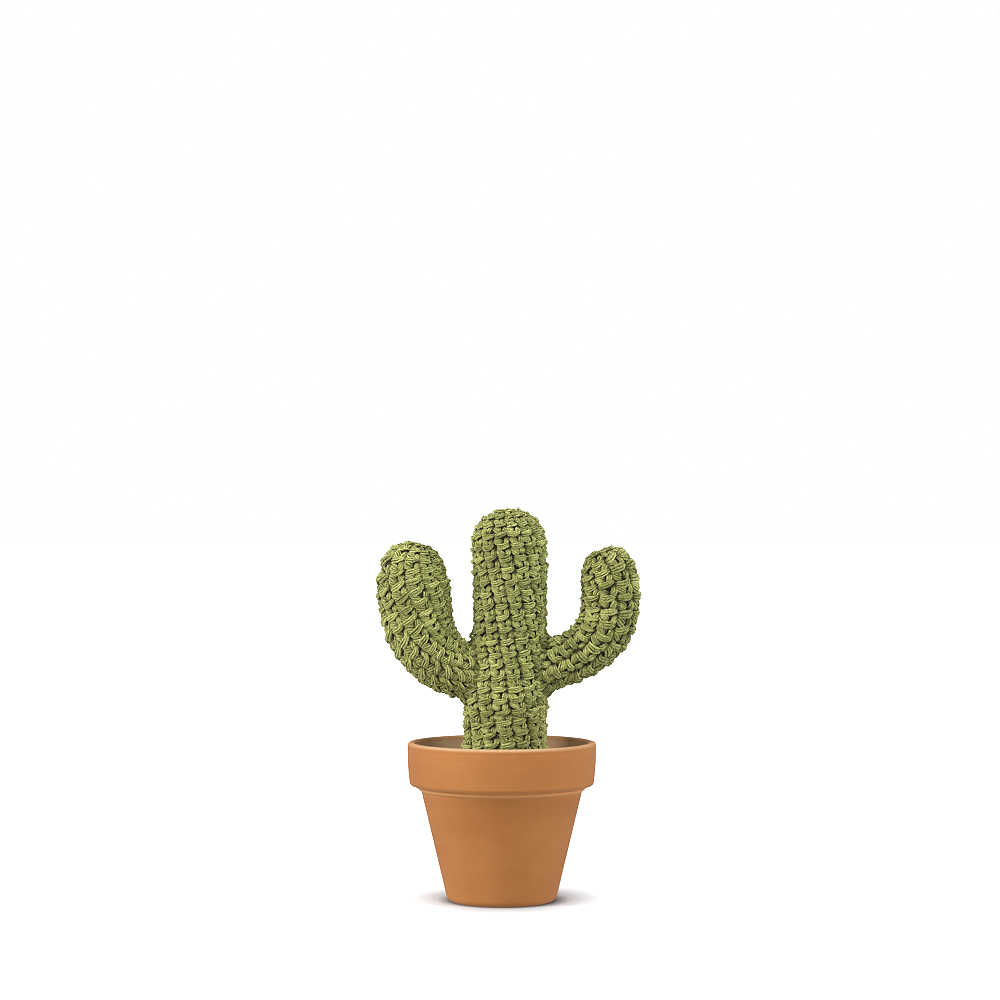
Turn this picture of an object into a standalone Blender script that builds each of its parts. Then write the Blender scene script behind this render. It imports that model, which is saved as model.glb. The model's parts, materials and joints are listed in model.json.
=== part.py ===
"""Crocheted saguaro cactus in a terracotta pot, built as separate solids.

The origin lies on the ground under the top of the trunk. +X is the side of the smaller arm and +Z is up.
The arms lie in the plane Y = 0. All lengths are in metres.
"""

import math
from dataclasses import dataclass

import bmesh
import bpy
import numpy as np
from mathutils import Vector

MM = 0.001

# Clearances between neighbouring pieces
GAP = 0.3 * MM
SEAT_GAP = 0.45 * MM

# Centrelines from the foot to the tip, in the plane Y = 0: x, z and the outer radius there, in millimetres
TRUNK_LINE = (
    (-2.6, 34.0, 24.6),
    (-2.6, 92.0, 24.6),
    (-2.6, 104.0, 24.2),
    (-2.1, 117.0, 24.8),
    (-0.6, 136.0, 23.1),
    (0.1, 156.0, 21.9),
    (0.1, 200.0, 21.9),
    (-0.8, 228.0, 21.9),
)
LEFT_ARM_LINE = (
    (-20.7, 131.0, 16.2),
    (-37.0, 138.2, 17.9),
    (-50.1, 153.2, 19.9),
    (-54.8, 173.0, 21.4),
    (-55.8, 190.0, 21.3),
    (-51.4, 207.6, 20.9),
)
RIGHT_ARM_LINE = (
    (22.4, 136.7, 16.1),
    (34.2, 140.2, 15.5),
    (46.9, 147.4, 16.3),
    (56.2, 159.8, 17.2),
    (59.2, 175.4, 17.5),
    (58.0, 190.4, 17.3),
    (53.6, 205.5, 16.9),
)

# Columns of stitches: how many in a full round, the angle of one of the gaps between them at the tip, in
# degrees, and how far they drift with every round, as a share of a column
TRUNK_COLUMNS = (15, 248.2, 0.17)
LEFT_ARM_COLUMNS = (12, 227.7, 0.18)
RIGHT_ARM_COLUMNS = (9, 260.7, 0.083)

# Pot
POT_AXIS_X = -4.5 * MM
POT_HEIGHT = 92.0 * MM
POT_RIM_RADIUS = 55.1 * MM
COLLAR_HEIGHT = 27.4 * MM
COLLAR_FOOT_RADIUS = 53.85 * MM
COLLAR_CORNER = 3.8 * MM
BODY_TOP_RADIUS = 47.5 * MM
BASE_RADIUS = 31.9 * MM
BASE_CORNER = 3.0 * MM
BEAD_HEIGHT = 2.4 * MM
BEAD_DEPTH = 0.45 * MM
BEAD_CORNER = 0.5 * MM
LIP_THICKNESS = 4.8 * MM
LIP_CORNER = 1.8 * MM
INNER_LEAN = 0.9 * MM
BODY_WALL = 4.2 * MM
LEDGE_HEIGHT = 7.0 * MM
FLOOR_THICKNESS = 6.0 * MM
FLOOR_CORNER = 4.0 * MM
DRAIN_RADIUS = 6.0 * MM
POT_SEGMENTS = 48

# Packing in the pot
PACKING_TOP = 75.0 * MM
PACKING_SEGMENTS = 36
LUMP_HEIGHT = 1.2 * MM
LUMP_STEP = 5.0
LUMP_TURN = 9.0

# Crochet
ROUND_PITCH = 6.9 * MM
FABRIC_THICKNESS = 4.2 * MM
RELIEF_DEPTH = 2.4 * MM
ROW_SHARE = 0.60
COLUMN_SHARE = 0.32
HOLE_SHARE = 0.08
CAP_EXPONENT = 2.2
CLOSING_ROUNDS = (5, 10)
SAMPLES_PER_STITCH = 3
VALLEY_SHARE = 0.68
OUTER_LEVELS = (VALLEY_SHARE, 1.0)
INNER_LEVELS = (1.0,)

# Sewing yarn at the arms
SEAM_RADIUS = 0.9 * MM
SEAM_NOTCH = 1.5 * MM
SEAM_ROOM = 3.8 * MM
FOOT_NOTCH = 0.9 * MM
SEAM_SEGMENTS = 32
SEAM_SIDES = 5
SEAM_WHIPS = 16
SEAM_WAVE = 0.12

# Linear colours of the pieces
TERRACOTTA = (0.515, 0.205, 0.080)
YARN_GREEN = (0.352, 0.402, 0.105)
SEAM_GREEN = (0.150, 0.165, 0.048)
FIBRE_GREY = (0.140, 0.114, 0.110)
PACKING_BROWN = (0.210, 0.140, 0.085)


@dataclass(frozen=True)
class Material:
    """A plain finish for one piece."""

    name: str
    colour: tuple[float, float, float]
    roughness: float

    def make(self) -> bpy.types.Material:
        """Return a Principled material of this colour and roughness."""
        material = bpy.data.materials.new(self.name)
        material.use_nodes = True
        shader = material.node_tree.nodes["Principled BSDF"]
        shader.inputs["Base Color"].default_value = (*self.colour, 1.0)
        shader.inputs["Roughness"].default_value = self.roughness
        shader.inputs["Metallic"].default_value = 0.0
        return material


class Limb:
    """A crocheted tube round a curved centreline, closed by a dome at its tip.

    A point of its outer surface is given by its distance from the tip, measured along the surface, by the
    angle round the centreline, and by its height above that surface.
    """

    PATH_POINTS = 400
    CAP_POINTS = 120
    RUN_IN = 40.0 * MM

    def __init__(self, line: tuple, columns: tuple[int, float, float]) -> None:
        self.stitches, phase, self.drift = columns
        self.phase = math.radians(phase)
        self.columns = self.stitches * SAMPLES_PER_STITCH
        self._trace_centreline(np.array(line) * MM)
        self._trace_meridian()

    def _trace_centreline(self, given: np.ndarray) -> None:
        """Run a smooth curve through the given points, with a straight stretch before the first one."""
        chords = np.linalg.norm(np.diff(given[:, :2], axis=0), axis=1)
        stations = np.concatenate([[0.0], np.cumsum(chords)])
        slopes = np.gradient(given, stations, axis=0)
        samples = np.linspace(0.0, stations[-1], self.PATH_POINTS)
        curve = np.array([hermite(value, stations, given, slopes) for value in samples])
        start = curve[0] - slopes[0] * self.RUN_IN
        start[2] = curve[0][2]
        curve = np.vstack([start, curve])
        steps = np.linalg.norm(np.diff(curve[:, :2], axis=0), axis=1)
        self.distance = np.concatenate([[0.0], np.cumsum(steps)]) - steps[0]
        self.curve = curve
        self.length = float(self.distance[-1])
        heading = np.gradient(curve[:, :2], self.distance, axis=0)
        self.heading = heading / np.linalg.norm(heading, axis=1)[:, None]

    def _trace_meridian(self) -> None:
        """Find the outer profile from the tip to the foot: distance along the axis, and radius."""
        cap_radius = float(self.curve[-1][2])
        phase = np.linspace(0.0, math.pi / 2, self.CAP_POINTS)
        power = 2.0 / CAP_EXPONENT
        cap_axial = self.length - cap_radius * (1.0 - np.cos(phase) ** power)
        cap_rho = cap_radius * np.sin(phase) ** power
        tube_axial = np.linspace(self.length - cap_radius, -self.RUN_IN, self.PATH_POINTS)[1:]
        tube_rho = np.interp(tube_axial, self.distance, self.curve[:, 2])
        axial = np.concatenate([cap_axial, tube_axial])
        rho = np.concatenate([cap_rho, tube_rho])
        steps = np.hypot(np.diff(axial), np.diff(rho))
        self.along = np.concatenate([[0.0], np.cumsum(steps)])
        self.axial = axial
        self.rho = rho
        self.rise = np.gradient(rho, self.along)
        self.fall = -np.gradient(axial, self.along)

    def point(self, along: float, angle: float, height: float = 0.0) -> Vector:
        """Return a point of the limb.

        Args:
            along: distance from the tip along the outer surface.
            angle: angle round the centreline, 0 on the inner side of the bend.
            height: height above the outer surface, negative for inside it.

        Returns:
            The point in world coordinates.
        """
        axial = np.interp(along, self.along, self.axial)
        rho = np.interp(along, self.along, self.rho)
        rise = np.interp(along, self.along, self.rise)
        fall = np.interp(along, self.along, self.fall)
        x, z = (np.interp(axial, self.distance, self.curve[:, i]) for i in range(2))
        forward_x, forward_z = (np.interp(axial, self.distance, self.heading[:, i]) for i in range(2))
        reach = max(rho + fall * height, 0.0)
        side = reach * math.cos(angle)
        lift = rise * height
        return Vector(
            (
                x + side * forward_z + lift * forward_x,
                reach * math.sin(angle),
                z - side * forward_x + lift * forward_z,
            )
        )

    def column_angle(self, column: float, along: float) -> float:
        """Return the angle of a column of stitches, which drifts a little with every round."""
        drift = self.drift * along / ROUND_PITCH
        return 2.0 * math.pi * (column / self.columns + drift / self.stitches) + self.phase

    def relief(self, along: float, angle: float) -> float:
        """Return the depth of the crochet below its outermost surface at one point."""
        rounds = along / ROUND_PITCH
        count = self.stitches
        if int(rounds) < len(CLOSING_ROUNDS):
            count = min(count, CLOSING_ROUNDS[int(rounds)])
        turns = (angle - self.phase) / (2.0 * math.pi) * count - self.drift * rounds
        beside = 0.5 + 0.5 * math.cos(2.0 * math.pi * turns)
        share = rounds % 1.0
        if share < VALLEY_SHARE:
            between = 0.5 - 0.5 * math.cos(math.pi * share / VALLEY_SHARE)
        else:
            between = 0.5 - 0.5 * math.cos(math.pi * (1.0 - share) / (1.0 - VALLEY_SHARE))
        return RELIEF_DEPTH * (ROW_SHARE * between + COLUMN_SHARE * beside + HOLE_SHARE * between * beside)

    def radius_at_height(self, z: float) -> tuple[float, float]:
        """Return the centreline's x and the outer radius at height z, for an upright limb."""
        x = np.interp(z, self.curve[:, 1], self.curve[:, 0])
        radius = np.interp(z, self.curve[:, 1], self.curve[:, 2])
        return float(x), float(radius)


def hermite(value: float, stations: np.ndarray, points: np.ndarray, slopes: np.ndarray) -> np.ndarray:
    """Return the point at one station of the smooth curve that runs through the points."""
    index = min(int(np.searchsorted(stations, value, side="right")) - 1, len(stations) - 2)
    span = stations[index + 1] - stations[index]
    t = (value - stations[index]) / span
    start, end = points[index], points[index + 1]
    leave, arrive = slopes[index] * span, slopes[index + 1] * span
    return (
        (2 * t**3 - 3 * t**2 + 1) * start
        + (t**3 - 2 * t**2 + t) * leave
        + (3 * t**2 - 2 * t**3) * end
        + (t**3 - t**2) * arrive
    )


def arc(centre: tuple[float, float], radius: float, start: float, end: float, count: int) -> list:
    """Return points on an arc, from and to an angle in degrees, as (radius, z) pairs."""
    angles = np.radians(np.linspace(start, end, count))
    return [(centre[0] + radius * math.cos(a), centre[1] + radius * math.sin(a)) for a in angles]


def circle(centre_x: float, radius: float, z: float, count: int) -> list[Vector]:
    """Return a level ring of points round an upright axis at Y = 0."""
    angles = [2.0 * math.pi * index / count for index in range(count)]
    return [Vector((centre_x + radius * math.cos(a), radius * math.sin(a), z)) for a in angles]


class Body:
    """A closed mesh put together from rings of points."""

    def __init__(self) -> None:
        self.mesh = bmesh.new()

    def ring(self, points: list[Vector]) -> list[bmesh.types.BMVert]:
        """Add a ring of vertices."""
        return [self.mesh.verts.new(point) for point in points]

    def bridge(self, one: list, other: list) -> None:
        """Join two rings, the first with as many vertices as the second or a whole multiple of them."""
        share = len(one) // len(other)
        for index, corner in enumerate(other):
            following = other[(index + 1) % len(other)]
            edge = [one[(index * share + step) % len(one)] for step in range(share + 1)]
            if share == 1:
                self.mesh.faces.new((edge[0], edge[1], following, corner))
                continue
            for first, second in zip(edge, edge[1:]):
                self.mesh.faces.new((first, second, corner))
            self.mesh.faces.new((edge[-1], following, corner))

    def chain(self, rings: list[list]) -> None:
        """Join each ring to the next one."""
        for one, other in zip(rings, rings[1:]):
            self.bridge(one, other)

    def close(self, ring: list, pole: Vector) -> None:
        """Close a ring with a fan to one point."""
        tip = self.mesh.verts.new(pole)
        for index, vertex in enumerate(ring):
            self.mesh.faces.new((vertex, ring[(index + 1) % len(ring)], tip))

    def finish(self, name: str, material: Material, sharp_degrees: float = 40.0) -> bpy.types.Object:
        """Turn the faces outward and make the object."""
        bmesh.ops.recalc_face_normals(self.mesh, faces=self.mesh.faces)
        mesh = bpy.data.meshes.new(name)
        self.mesh.to_mesh(mesh)
        self.mesh.free()
        mesh.materials.append(material.make())
        mesh.shade_smooth()
        mesh.set_sharp_from_angle(angle=math.radians(sharp_degrees))
        body = bpy.data.objects.new(name, mesh)
        bpy.context.scene.collection.objects.link(body)
        return body


def pot_inner_wall() -> list[tuple[float, float]]:
    """Return the inside of the pot from the lip down to the floor, as (radius, z) pairs."""
    ledge_top = POT_HEIGHT - COLLAR_HEIGHT + LEDGE_HEIGHT
    ledge_foot = POT_HEIGHT - COLLAR_HEIGHT
    return [
        (POT_RIM_RADIUS - LIP_THICKNESS - INNER_LEAN, ledge_top),
        (BODY_TOP_RADIUS - BODY_WALL, ledge_foot),
    ] + arc(
        (body_radius(FLOOR_THICKNESS) - BODY_WALL - FLOOR_CORNER, FLOOR_THICKNESS + FLOOR_CORNER),
        FLOOR_CORNER,
        0.0,
        -90.0,
        3,
    )


def body_radius(z: float) -> float:
    """Return the outer radius of the pot's tapering body at height z."""
    share = z / (POT_HEIGHT - COLLAR_HEIGHT)
    return BASE_RADIUS + (BODY_TOP_RADIUS - BASE_RADIUS) * share


def build_pot() -> None:
    """Turn the terracotta pot, a ring round its drain hole, from one closed profile."""
    collar_foot = POT_HEIGHT - COLLAR_HEIGHT
    bead_foot = collar_foot - BEAD_HEIGHT
    inner_lip = POT_RIM_RADIUS - LIP_THICKNESS
    profile = [(DRAIN_RADIUS, 0.0)]
    profile += arc((BASE_RADIUS - BASE_CORNER, BASE_CORNER), BASE_CORNER, -90.0, 0.0, 4)
    profile.append((body_radius(bead_foot), bead_foot))
    profile.append((body_radius(bead_foot) + BEAD_DEPTH, bead_foot + BEAD_CORNER))
    profile.append((body_radius(collar_foot) + BEAD_DEPTH, collar_foot))
    collar_corner = (COLLAR_FOOT_RADIUS - COLLAR_CORNER, collar_foot + COLLAR_CORNER)
    profile += arc(collar_corner, COLLAR_CORNER, -90.0, 0.0, 4)
    outer_lip = (POT_RIM_RADIUS - LIP_CORNER, POT_HEIGHT - LIP_CORNER)
    profile += arc(outer_lip, LIP_CORNER, 0.0, 90.0, 4)
    profile += arc((inner_lip + LIP_CORNER, POT_HEIGHT - LIP_CORNER), LIP_CORNER, 90.0, 180.0, 4)
    profile += pot_inner_wall()
    profile.append((DRAIN_RADIUS, FLOOR_THICKNESS))
    body = Body()
    rings = [body.ring(circle(POT_AXIS_X, radius, z, POT_SEGMENTS)) for radius, z in profile]
    body.chain(rings + rings[:1])
    body.finish("pot", Material("terracotta", TERRACOTTA, 0.85))


def build_packing(trunk: Limb, trunk_foot: float) -> None:
    """Fill the pot round the trunk, with a plain socket that the trunk stands in."""
    wall = [(radius - GAP, z) for radius, z in pot_inner_wall()]
    wall[-1] = (wall[-1][0], FLOOR_THICKNESS + GAP)
    top_share = (PACKING_TOP - wall[0][1]) / (POT_HEIGHT - wall[0][1])
    top_radius = wall[0][0] + top_share * (POT_RIM_RADIUS - LIP_THICKNESS - wall[0][0] - GAP)
    centre_x, trunk_radius = trunk.radius_at_height(PACKING_TOP)
    socket = trunk_radius + SEAT_GAP
    body = Body()
    rings = [body.ring(circle(POT_AXIS_X, radius, z, PACKING_SEGMENTS)) for radius, z in reversed(wall)]
    rings.append(body.ring(circle(POT_AXIS_X, top_radius, PACKING_TOP, PACKING_SEGMENTS)))
    for share in (0.33, 0.67):
        level = circle(
            POT_AXIS_X + (centre_x - POT_AXIS_X) * share,
            top_radius + (socket - top_radius) * share,
            PACKING_TOP,
            PACKING_SEGMENTS,
        )
        for index, point in enumerate(level):
            point.z += LUMP_HEIGHT * math.sin(LUMP_STEP * index + LUMP_TURN * share)
        rings.append(body.ring(level))
    rings.append(body.ring(circle(centre_x, socket, PACKING_TOP, PACKING_SEGMENTS)))
    rings.append(body.ring(circle(centre_x, socket, trunk_foot - GAP, PACKING_SEGMENTS)))
    body.chain(rings)
    body.close(rings[-1], Vector((centre_x, 0, trunk_foot - GAP)))
    body.close(rings[0], Vector((POT_AXIS_X, 0, FLOOR_THICKNESS + GAP)))
    body.finish("pot_packing", Material("packing", PACKING_BROWN, 0.95))


class Seat:
    """Where a limb ends: on a level plane, or on the round side of the trunk."""

    SEARCH_START = 0.45
    SEARCH_STEPS = 40

    def __init__(self, limb: Limb, trunk: Limb | None = None, foot: float = 0.0) -> None:
        self.limb = limb
        self.trunk = trunk
        self.foot = foot

    def clearance(self, place: Vector, room: float) -> float:
        """Return how far a point lies clear of the seat, less the room asked for."""
        if self.trunk is None:
            return place.z - self.foot - room
        centre_x, radius = self.trunk.radius_at_height(place.z)
        return math.hypot(place.x - centre_x, place.y) - radius - room

    def reach(self, column: float, height: float, room: float) -> float:
        """Return the distance from the tip at which a column meets the seat."""
        near, far = 0.5 * ROUND_PITCH, float(self.limb.along[-1])
        if self.trunk is not None:
            near = self.SEARCH_START * self.limb.length
        for _ in range(self.SEARCH_STEPS):
            middle = 0.5 * (near + far)
            angle = self.limb.column_angle(column, middle)
            if self.clearance(self.limb.point(middle, angle, height), room) > 0.0:
                near = middle
            else:
                far = middle
        return 0.5 * (near + far)


class Crochet:
    """The skin and the stuffing of one limb."""

    STUFFING_ROOM = 1.1 * MM
    LONGEST_STEP = 1.6
    FULL_RELIEF_STEPS = 3.2

    def __init__(self, name: str, limb: Limb, seat: Seat, notch: float) -> None:
        self.name = name
        self.limb = limb
        self.seat = seat
        self.notch = notch
        self.seat_room = SEAT_GAP if seat.trunk else 0.0

    def stations(self, samples: int, levels: tuple, height: float, room: float) -> list[list[float]]:
        """Return, ring by ring, each column's distance from the tip, down to the seat."""
        columns = self.limb.stitches * samples
        step = ROUND_PITCH / len(levels)
        scale = self.limb.columns / columns
        feet = [self.seat.reach(index * scale, height, room) for index in range(columns)]
        rounds = int((min(feet) - self.notch - SEAM_ROOM) / ROUND_PITCH)
        last = rounds * ROUND_PITCH
        rings = [[ROUND_PITCH * (done + level)] * columns for done in range(rounds) for level in levels]
        blend = max(1, round((max(feet) - SEAM_ROOM - last) / (self.LONGEST_STEP * step)))
        for index in range(1, blend + 1):
            share = index / blend
            rings.append([last + (foot - SEAM_ROOM - last) * share for foot in feet])
        rings.append(feet)
        return rings

    def build_skin(self) -> None:
        """Make the crocheted tube: outer face with its stitches, open foot and smooth lining."""
        limb = self.limb
        outer = self.stations(SAMPLES_PER_STITCH, OUTER_LEVELS, -self.notch, self.seat_room)
        inner = self.stations(1, INNER_LEVELS, -FABRIC_THICKNESS, self.seat_room)
        body = Body()
        rings = [body.ring(self.outer_ring(outer, index)) for index in range(len(outer))]
        body.chain(rings)
        lining = [body.ring(self.smooth_ring(row, -FABRIC_THICKNESS)) for row in inner]
        body.chain(lining)
        body.bridge(rings[-1], lining[-1])
        body.close(rings[0], limb.point(0.0, 0.0, -0.5 * RELIEF_DEPTH))
        body.close(lining[0], limb.point(0.0, 0.0, -FABRIC_THICKNESS))
        body.finish(f"{self.name}_skin", Material(f"{self.name}_yarn", YARN_GREEN, 0.9), 85.0)

    def outer_ring(self, stations: list[list[float]], index: int) -> list[Vector]:
        """Return one ring of the outer face, with the relief of the stitches."""
        limb = self.limb
        points = []
        for column, along in enumerate(stations[index]):
            angle = limb.column_angle(column, along)
            before = stations[index - 1][column] if index else 0.0
            spread = min(1.0, (along - before) * self.FULL_RELIEF_STEPS / ROUND_PITCH)
            depth = limb.relief(along, angle) * spread
            if index >= len(stations) - 2:
                depth = self.notch
            points.append(limb.point(along, angle, -depth))
        return points

    def smooth_ring(self, row: list[float], height: float) -> list[Vector]:
        """Return one ring of a smooth face under the outer one."""
        points = []
        for stitch, along in enumerate(row):
            angle = self.limb.column_angle(stitch * SAMPLES_PER_STITCH, along)
            points.append(self.limb.point(along, angle, height))
        return points

    def build_stuffing(self) -> None:
        """Make the fibre filling, just inside the lining."""
        depth = FABRIC_THICKNESS + GAP
        room = self.STUFFING_ROOM if self.seat.trunk else 0.0
        rows = self.stations(1, INNER_LEVELS, -depth, room)
        half_depth = 0.5 * (depth + self.limb.rho.max())
        body = Body()
        rings = [body.ring(self.smooth_ring(row, -depth)) for row in rows]
        columns = [stitch * SAMPLES_PER_STITCH for stitch in range(self.limb.stitches)]
        if self.seat.trunk:
            middle = [self.seat.reach(column, -half_depth, room) for column in columns]
            rings.append(body.ring(self.smooth_ring(middle, -half_depth)))
        body.chain(rings)
        centre_depth = 2.0 * float(self.limb.rho.max())
        end = self.seat.reach(0.0, -centre_depth, room)
        body.close(rings[0], self.limb.point(0.0, 0.0, -depth))
        body.close(rings[-1], self.limb.point(end, 0.0, -centre_depth))
        body.finish(f"{self.name}_stuffing", Material(f"{self.name}_fibre", FIBRE_GREY, 0.95))

    def build_seam(self) -> None:
        """Lay the sewing yarn in the notch round the foot of an arm, as one whipped ring."""
        limb = self.limb
        height = GAP + SEAM_RADIUS - self.notch
        room = SEAT_GAP + GAP + SEAM_RADIUS
        line = []
        for index in range(SEAM_SEGMENTS):
            column = limb.columns * index / SEAM_SEGMENTS
            along = self.seat.reach(column, height, room)
            line.append(limb.point(along, limb.column_angle(column, along), height))
        body = Body()
        rings = []
        for index, centre in enumerate(line):
            ahead = (line[(index + 1) % len(line)] - line[index - 1]).normalized()
            outward = (centre - sum(line, Vector()) / len(line)).cross(ahead).normalized()
            across = ahead.cross(outward)
            wave = math.cos(2.0 * math.pi * SEAM_WHIPS * index / SEAM_SEGMENTS)
            radius = SEAM_RADIUS * (1.0 - SEAM_WAVE * (1.0 + wave))
            section = []
            for side in range(SEAM_SIDES):
                turn = 2.0 * math.pi * side / SEAM_SIDES
                section.append(centre + radius * (outward * math.cos(turn) + across * math.sin(turn)))
            rings.append(body.ring(section))
        body.chain(rings + rings[:1])
        body.finish(f"{self.name}_seam", Material(f"{self.name}_sewing", SEAM_GREEN, 0.9), 85.0)


def main() -> None:
    """Build the whole object in an empty scene."""
    for existing in list(bpy.data.objects):
        bpy.data.objects.remove(existing, do_unlink=True)
    trunk = Limb(TRUNK_LINE, TRUNK_COLUMNS)
    trunk_foot = TRUNK_LINE[0][1] * MM
    build_pot()
    build_packing(trunk, trunk_foot)
    trunk_crochet = Crochet("trunk", trunk, Seat(trunk, foot=trunk_foot), FOOT_NOTCH)
    trunk_crochet.build_skin()
    trunk_crochet.build_stuffing()
    arms = (
        ("left_arm", LEFT_ARM_LINE, LEFT_ARM_COLUMNS),
        ("right_arm", RIGHT_ARM_LINE, RIGHT_ARM_COLUMNS),
    )
    for name, line, columns in arms:
        limb = Limb(line, columns)
        crochet = Crochet(name, limb, Seat(limb, trunk=trunk), SEAM_NOTCH)
        crochet.build_skin()
        crochet.build_stuffing()
        crochet.build_seam()


main()
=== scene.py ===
"""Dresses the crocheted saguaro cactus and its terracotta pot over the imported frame.

The yarn is laid stitch by stitch over the limbs, with the wrong side of the single crochet outward. The grey
filling shows through the widest gaps. The pot is turned again with its fine profile, and a small white studio
stands round it. Every length is in metres unless its name says otherwise.
"""

import json
import logging
import math
import random
from dataclasses import dataclass, field
from enum import Enum

import bmesh
import bpy
import numpy as np
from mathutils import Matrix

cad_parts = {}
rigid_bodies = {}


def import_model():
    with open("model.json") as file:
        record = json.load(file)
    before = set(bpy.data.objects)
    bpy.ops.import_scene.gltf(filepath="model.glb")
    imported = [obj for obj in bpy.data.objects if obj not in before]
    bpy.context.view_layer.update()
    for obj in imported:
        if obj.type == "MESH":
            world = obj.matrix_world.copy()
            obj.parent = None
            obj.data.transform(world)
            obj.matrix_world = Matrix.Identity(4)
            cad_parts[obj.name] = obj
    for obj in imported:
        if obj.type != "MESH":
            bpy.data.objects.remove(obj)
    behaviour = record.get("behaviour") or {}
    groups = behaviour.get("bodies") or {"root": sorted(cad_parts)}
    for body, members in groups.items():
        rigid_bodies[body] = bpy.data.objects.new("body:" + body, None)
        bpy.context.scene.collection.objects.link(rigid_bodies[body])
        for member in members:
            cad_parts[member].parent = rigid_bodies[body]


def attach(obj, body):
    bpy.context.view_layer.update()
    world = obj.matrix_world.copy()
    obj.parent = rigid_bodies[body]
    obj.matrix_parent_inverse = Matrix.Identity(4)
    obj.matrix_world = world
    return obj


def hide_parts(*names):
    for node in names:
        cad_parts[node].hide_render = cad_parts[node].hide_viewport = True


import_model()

MM = 0.001
FRONT = math.radians(-90.0)
# What the crochet tool reads for each stitch.
STITCH_VALUES = ("kind", "centre", "level", "across", "shear", "tilt", "down", "wide", "swell", "stitch_tone")
# A flat stitch, in millimetres: from round to round, from column to column, and from a round's holes to the
# middle of its stitches.
FLAT_PITCH = 6.9
FLAT_WIDTH = 9.4
STITCH_MIDDLE = 3.0
WHITE = (1.0, 1.0, 1.0)

Socket = bpy.types.NodeSocket
Material = bpy.types.Material
Mesh = bpy.types.Mesh
Thing = bpy.types.Object
Feed = float | tuple | Socket
log = logging.getLogger("cactus")


class Slot(Enum):
    """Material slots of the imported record."""

    TERRACOTTA = "terracotta"
    PACKING = "packing"
    YARN = "yarn"
    STUFFING = "stuffing"
    SEWING = "sewing_yarn"


class Run(Enum):
    """Runs of yarn that show in one stitch."""

    BAR = "bar"
    LOBE = "lobe"
    LEG = "leg"
    UNDER = "under"


# Node helpers


class Wiring:
    """Lays nodes in a tree and joins their sockets."""

    def __init__(self, tree: bpy.types.NodeTree) -> None:
        """Start on a tree."""
        self.tree = tree

    @staticmethod
    def socket(sockets: bpy.types.bpy_prop_collection, key: str | int) -> Socket:
        """Find a socket.

        Args:
            sockets: the inputs or the outputs of a node.
            key: the socket's place, or its name as the node shows it.

        Returns:
            The socket at that place, or the first one in use with that name.
        """
        if isinstance(key, int):
            return sockets[key]
        return next(one for one in sockets if one.name == key and one.enabled)

    def node(self, kind: str, feeds: dict | None = None, **settings: object) -> bpy.types.Node:
        """Add a node.

        Args:
            kind: the node's type.
            feeds: for each input, by name or place, its value or the socket that feeds it.
            settings: the node's own properties.

        Returns:
            The node.
        """
        node = self.tree.nodes.new(kind)
        for name, value in settings.items():
            setattr(node, name, value)
        for key, value in (feeds or {}).items():
            target = self.socket(node.inputs, key)
            if isinstance(value, Socket):
                self.tree.links.new(value, target)
            else:
                target.default_value = value
        return node

    def maths(self, operation: str, one: Feed, other: Feed = 0.0, third: Feed = 0.0) -> Socket:
        """Return the result of a Math node on two or three numbers or sockets."""
        return self.node("ShaderNodeMath", {0: one, 1: other, 2: third}, operation=operation).outputs[0]

    def vector(self, operation: str, one: Feed, other: Feed = (0.0, 0.0, 0.0)) -> Socket:
        """Return the vector of a Vector Math node on one or two vectors."""
        return self.node("ShaderNodeVectorMath", {0: one, 1: other}, operation=operation).outputs[0]

    def measure(self, operation: str, one: Feed, other: Feed = (0.0, 0.0, 0.0)) -> Socket:
        """Return the number of a Vector Math node on one or two vectors, such as a length."""
        return self.node("ShaderNodeVectorMath", {0: one, 1: other}, operation=operation).outputs["Value"]

    def scaled(self, vector: Feed, factor: Feed) -> Socket:
        """Return a vector times a number."""
        return self.node("ShaderNodeVectorMath", {0: vector, "Scale": factor}, operation="SCALE").outputs[0]

    def read(self, name: str) -> Socket:
        """Return, in a material, a number that the piece's mesh carries at its points."""
        return self.node("ShaderNodeAttribute", attribute_name=name).outputs["Fac"]

    def remap(self, value: Feed, low: float, high: float, start: float = 0.0, end: float = 1.0) -> Socket:
        """Return a value moved from the range low to high to the range start to end, held inside it."""
        feeds = {"Value": value, "From Min": low, "From Max": high, "To Min": start, "To Max": end}
        return self.node("ShaderNodeMapRange", feeds).outputs[0]

    def blend(self, share: Feed, one: Feed, other: Feed) -> Socket:
        """Return the mix of two colours by a share."""
        return self.node("ShaderNodeMix", {0: share, 6: one, 7: other}, data_type="RGBA").outputs[2]

    def noise(self, place: Feed, scale: float, detail: float = 2.0, rough: float = 0.5) -> Socket:
        """Return a noise value from 0 to 1 at a place."""
        feeds = {"Vector": place, "Scale": scale, "Detail": detail, "Roughness": rough}
        return self.node("ShaderNodeTexNoise", feeds).outputs[0]

    def stretched(self, place: Feed, scale: tuple[float, float, float]) -> Socket:
        """Return a place scaled by its own factor along each axis."""
        return self.node("ShaderNodeMapping", {"Vector": place, "Scale": scale}).outputs[0]


def srgb(red: float, green: float, blue: float) -> tuple[float, float, float, float]:
    """Turn a display colour into a linear one.

    Args:
        red: the red, from 0 to 255.
        green: the green, from 0 to 255.
        blue: the blue, from 0 to 255.

    Returns:
        The linear colour, with full alpha.
    """
    linear = [
        value / 12.92 if value <= 0.04045 else ((value + 0.055) / 1.055) ** 2.4
        for value in (red / 255.0, green / 255.0, blue / 255.0)
    ]
    return (*linear, 1.0)


# Finishes


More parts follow.
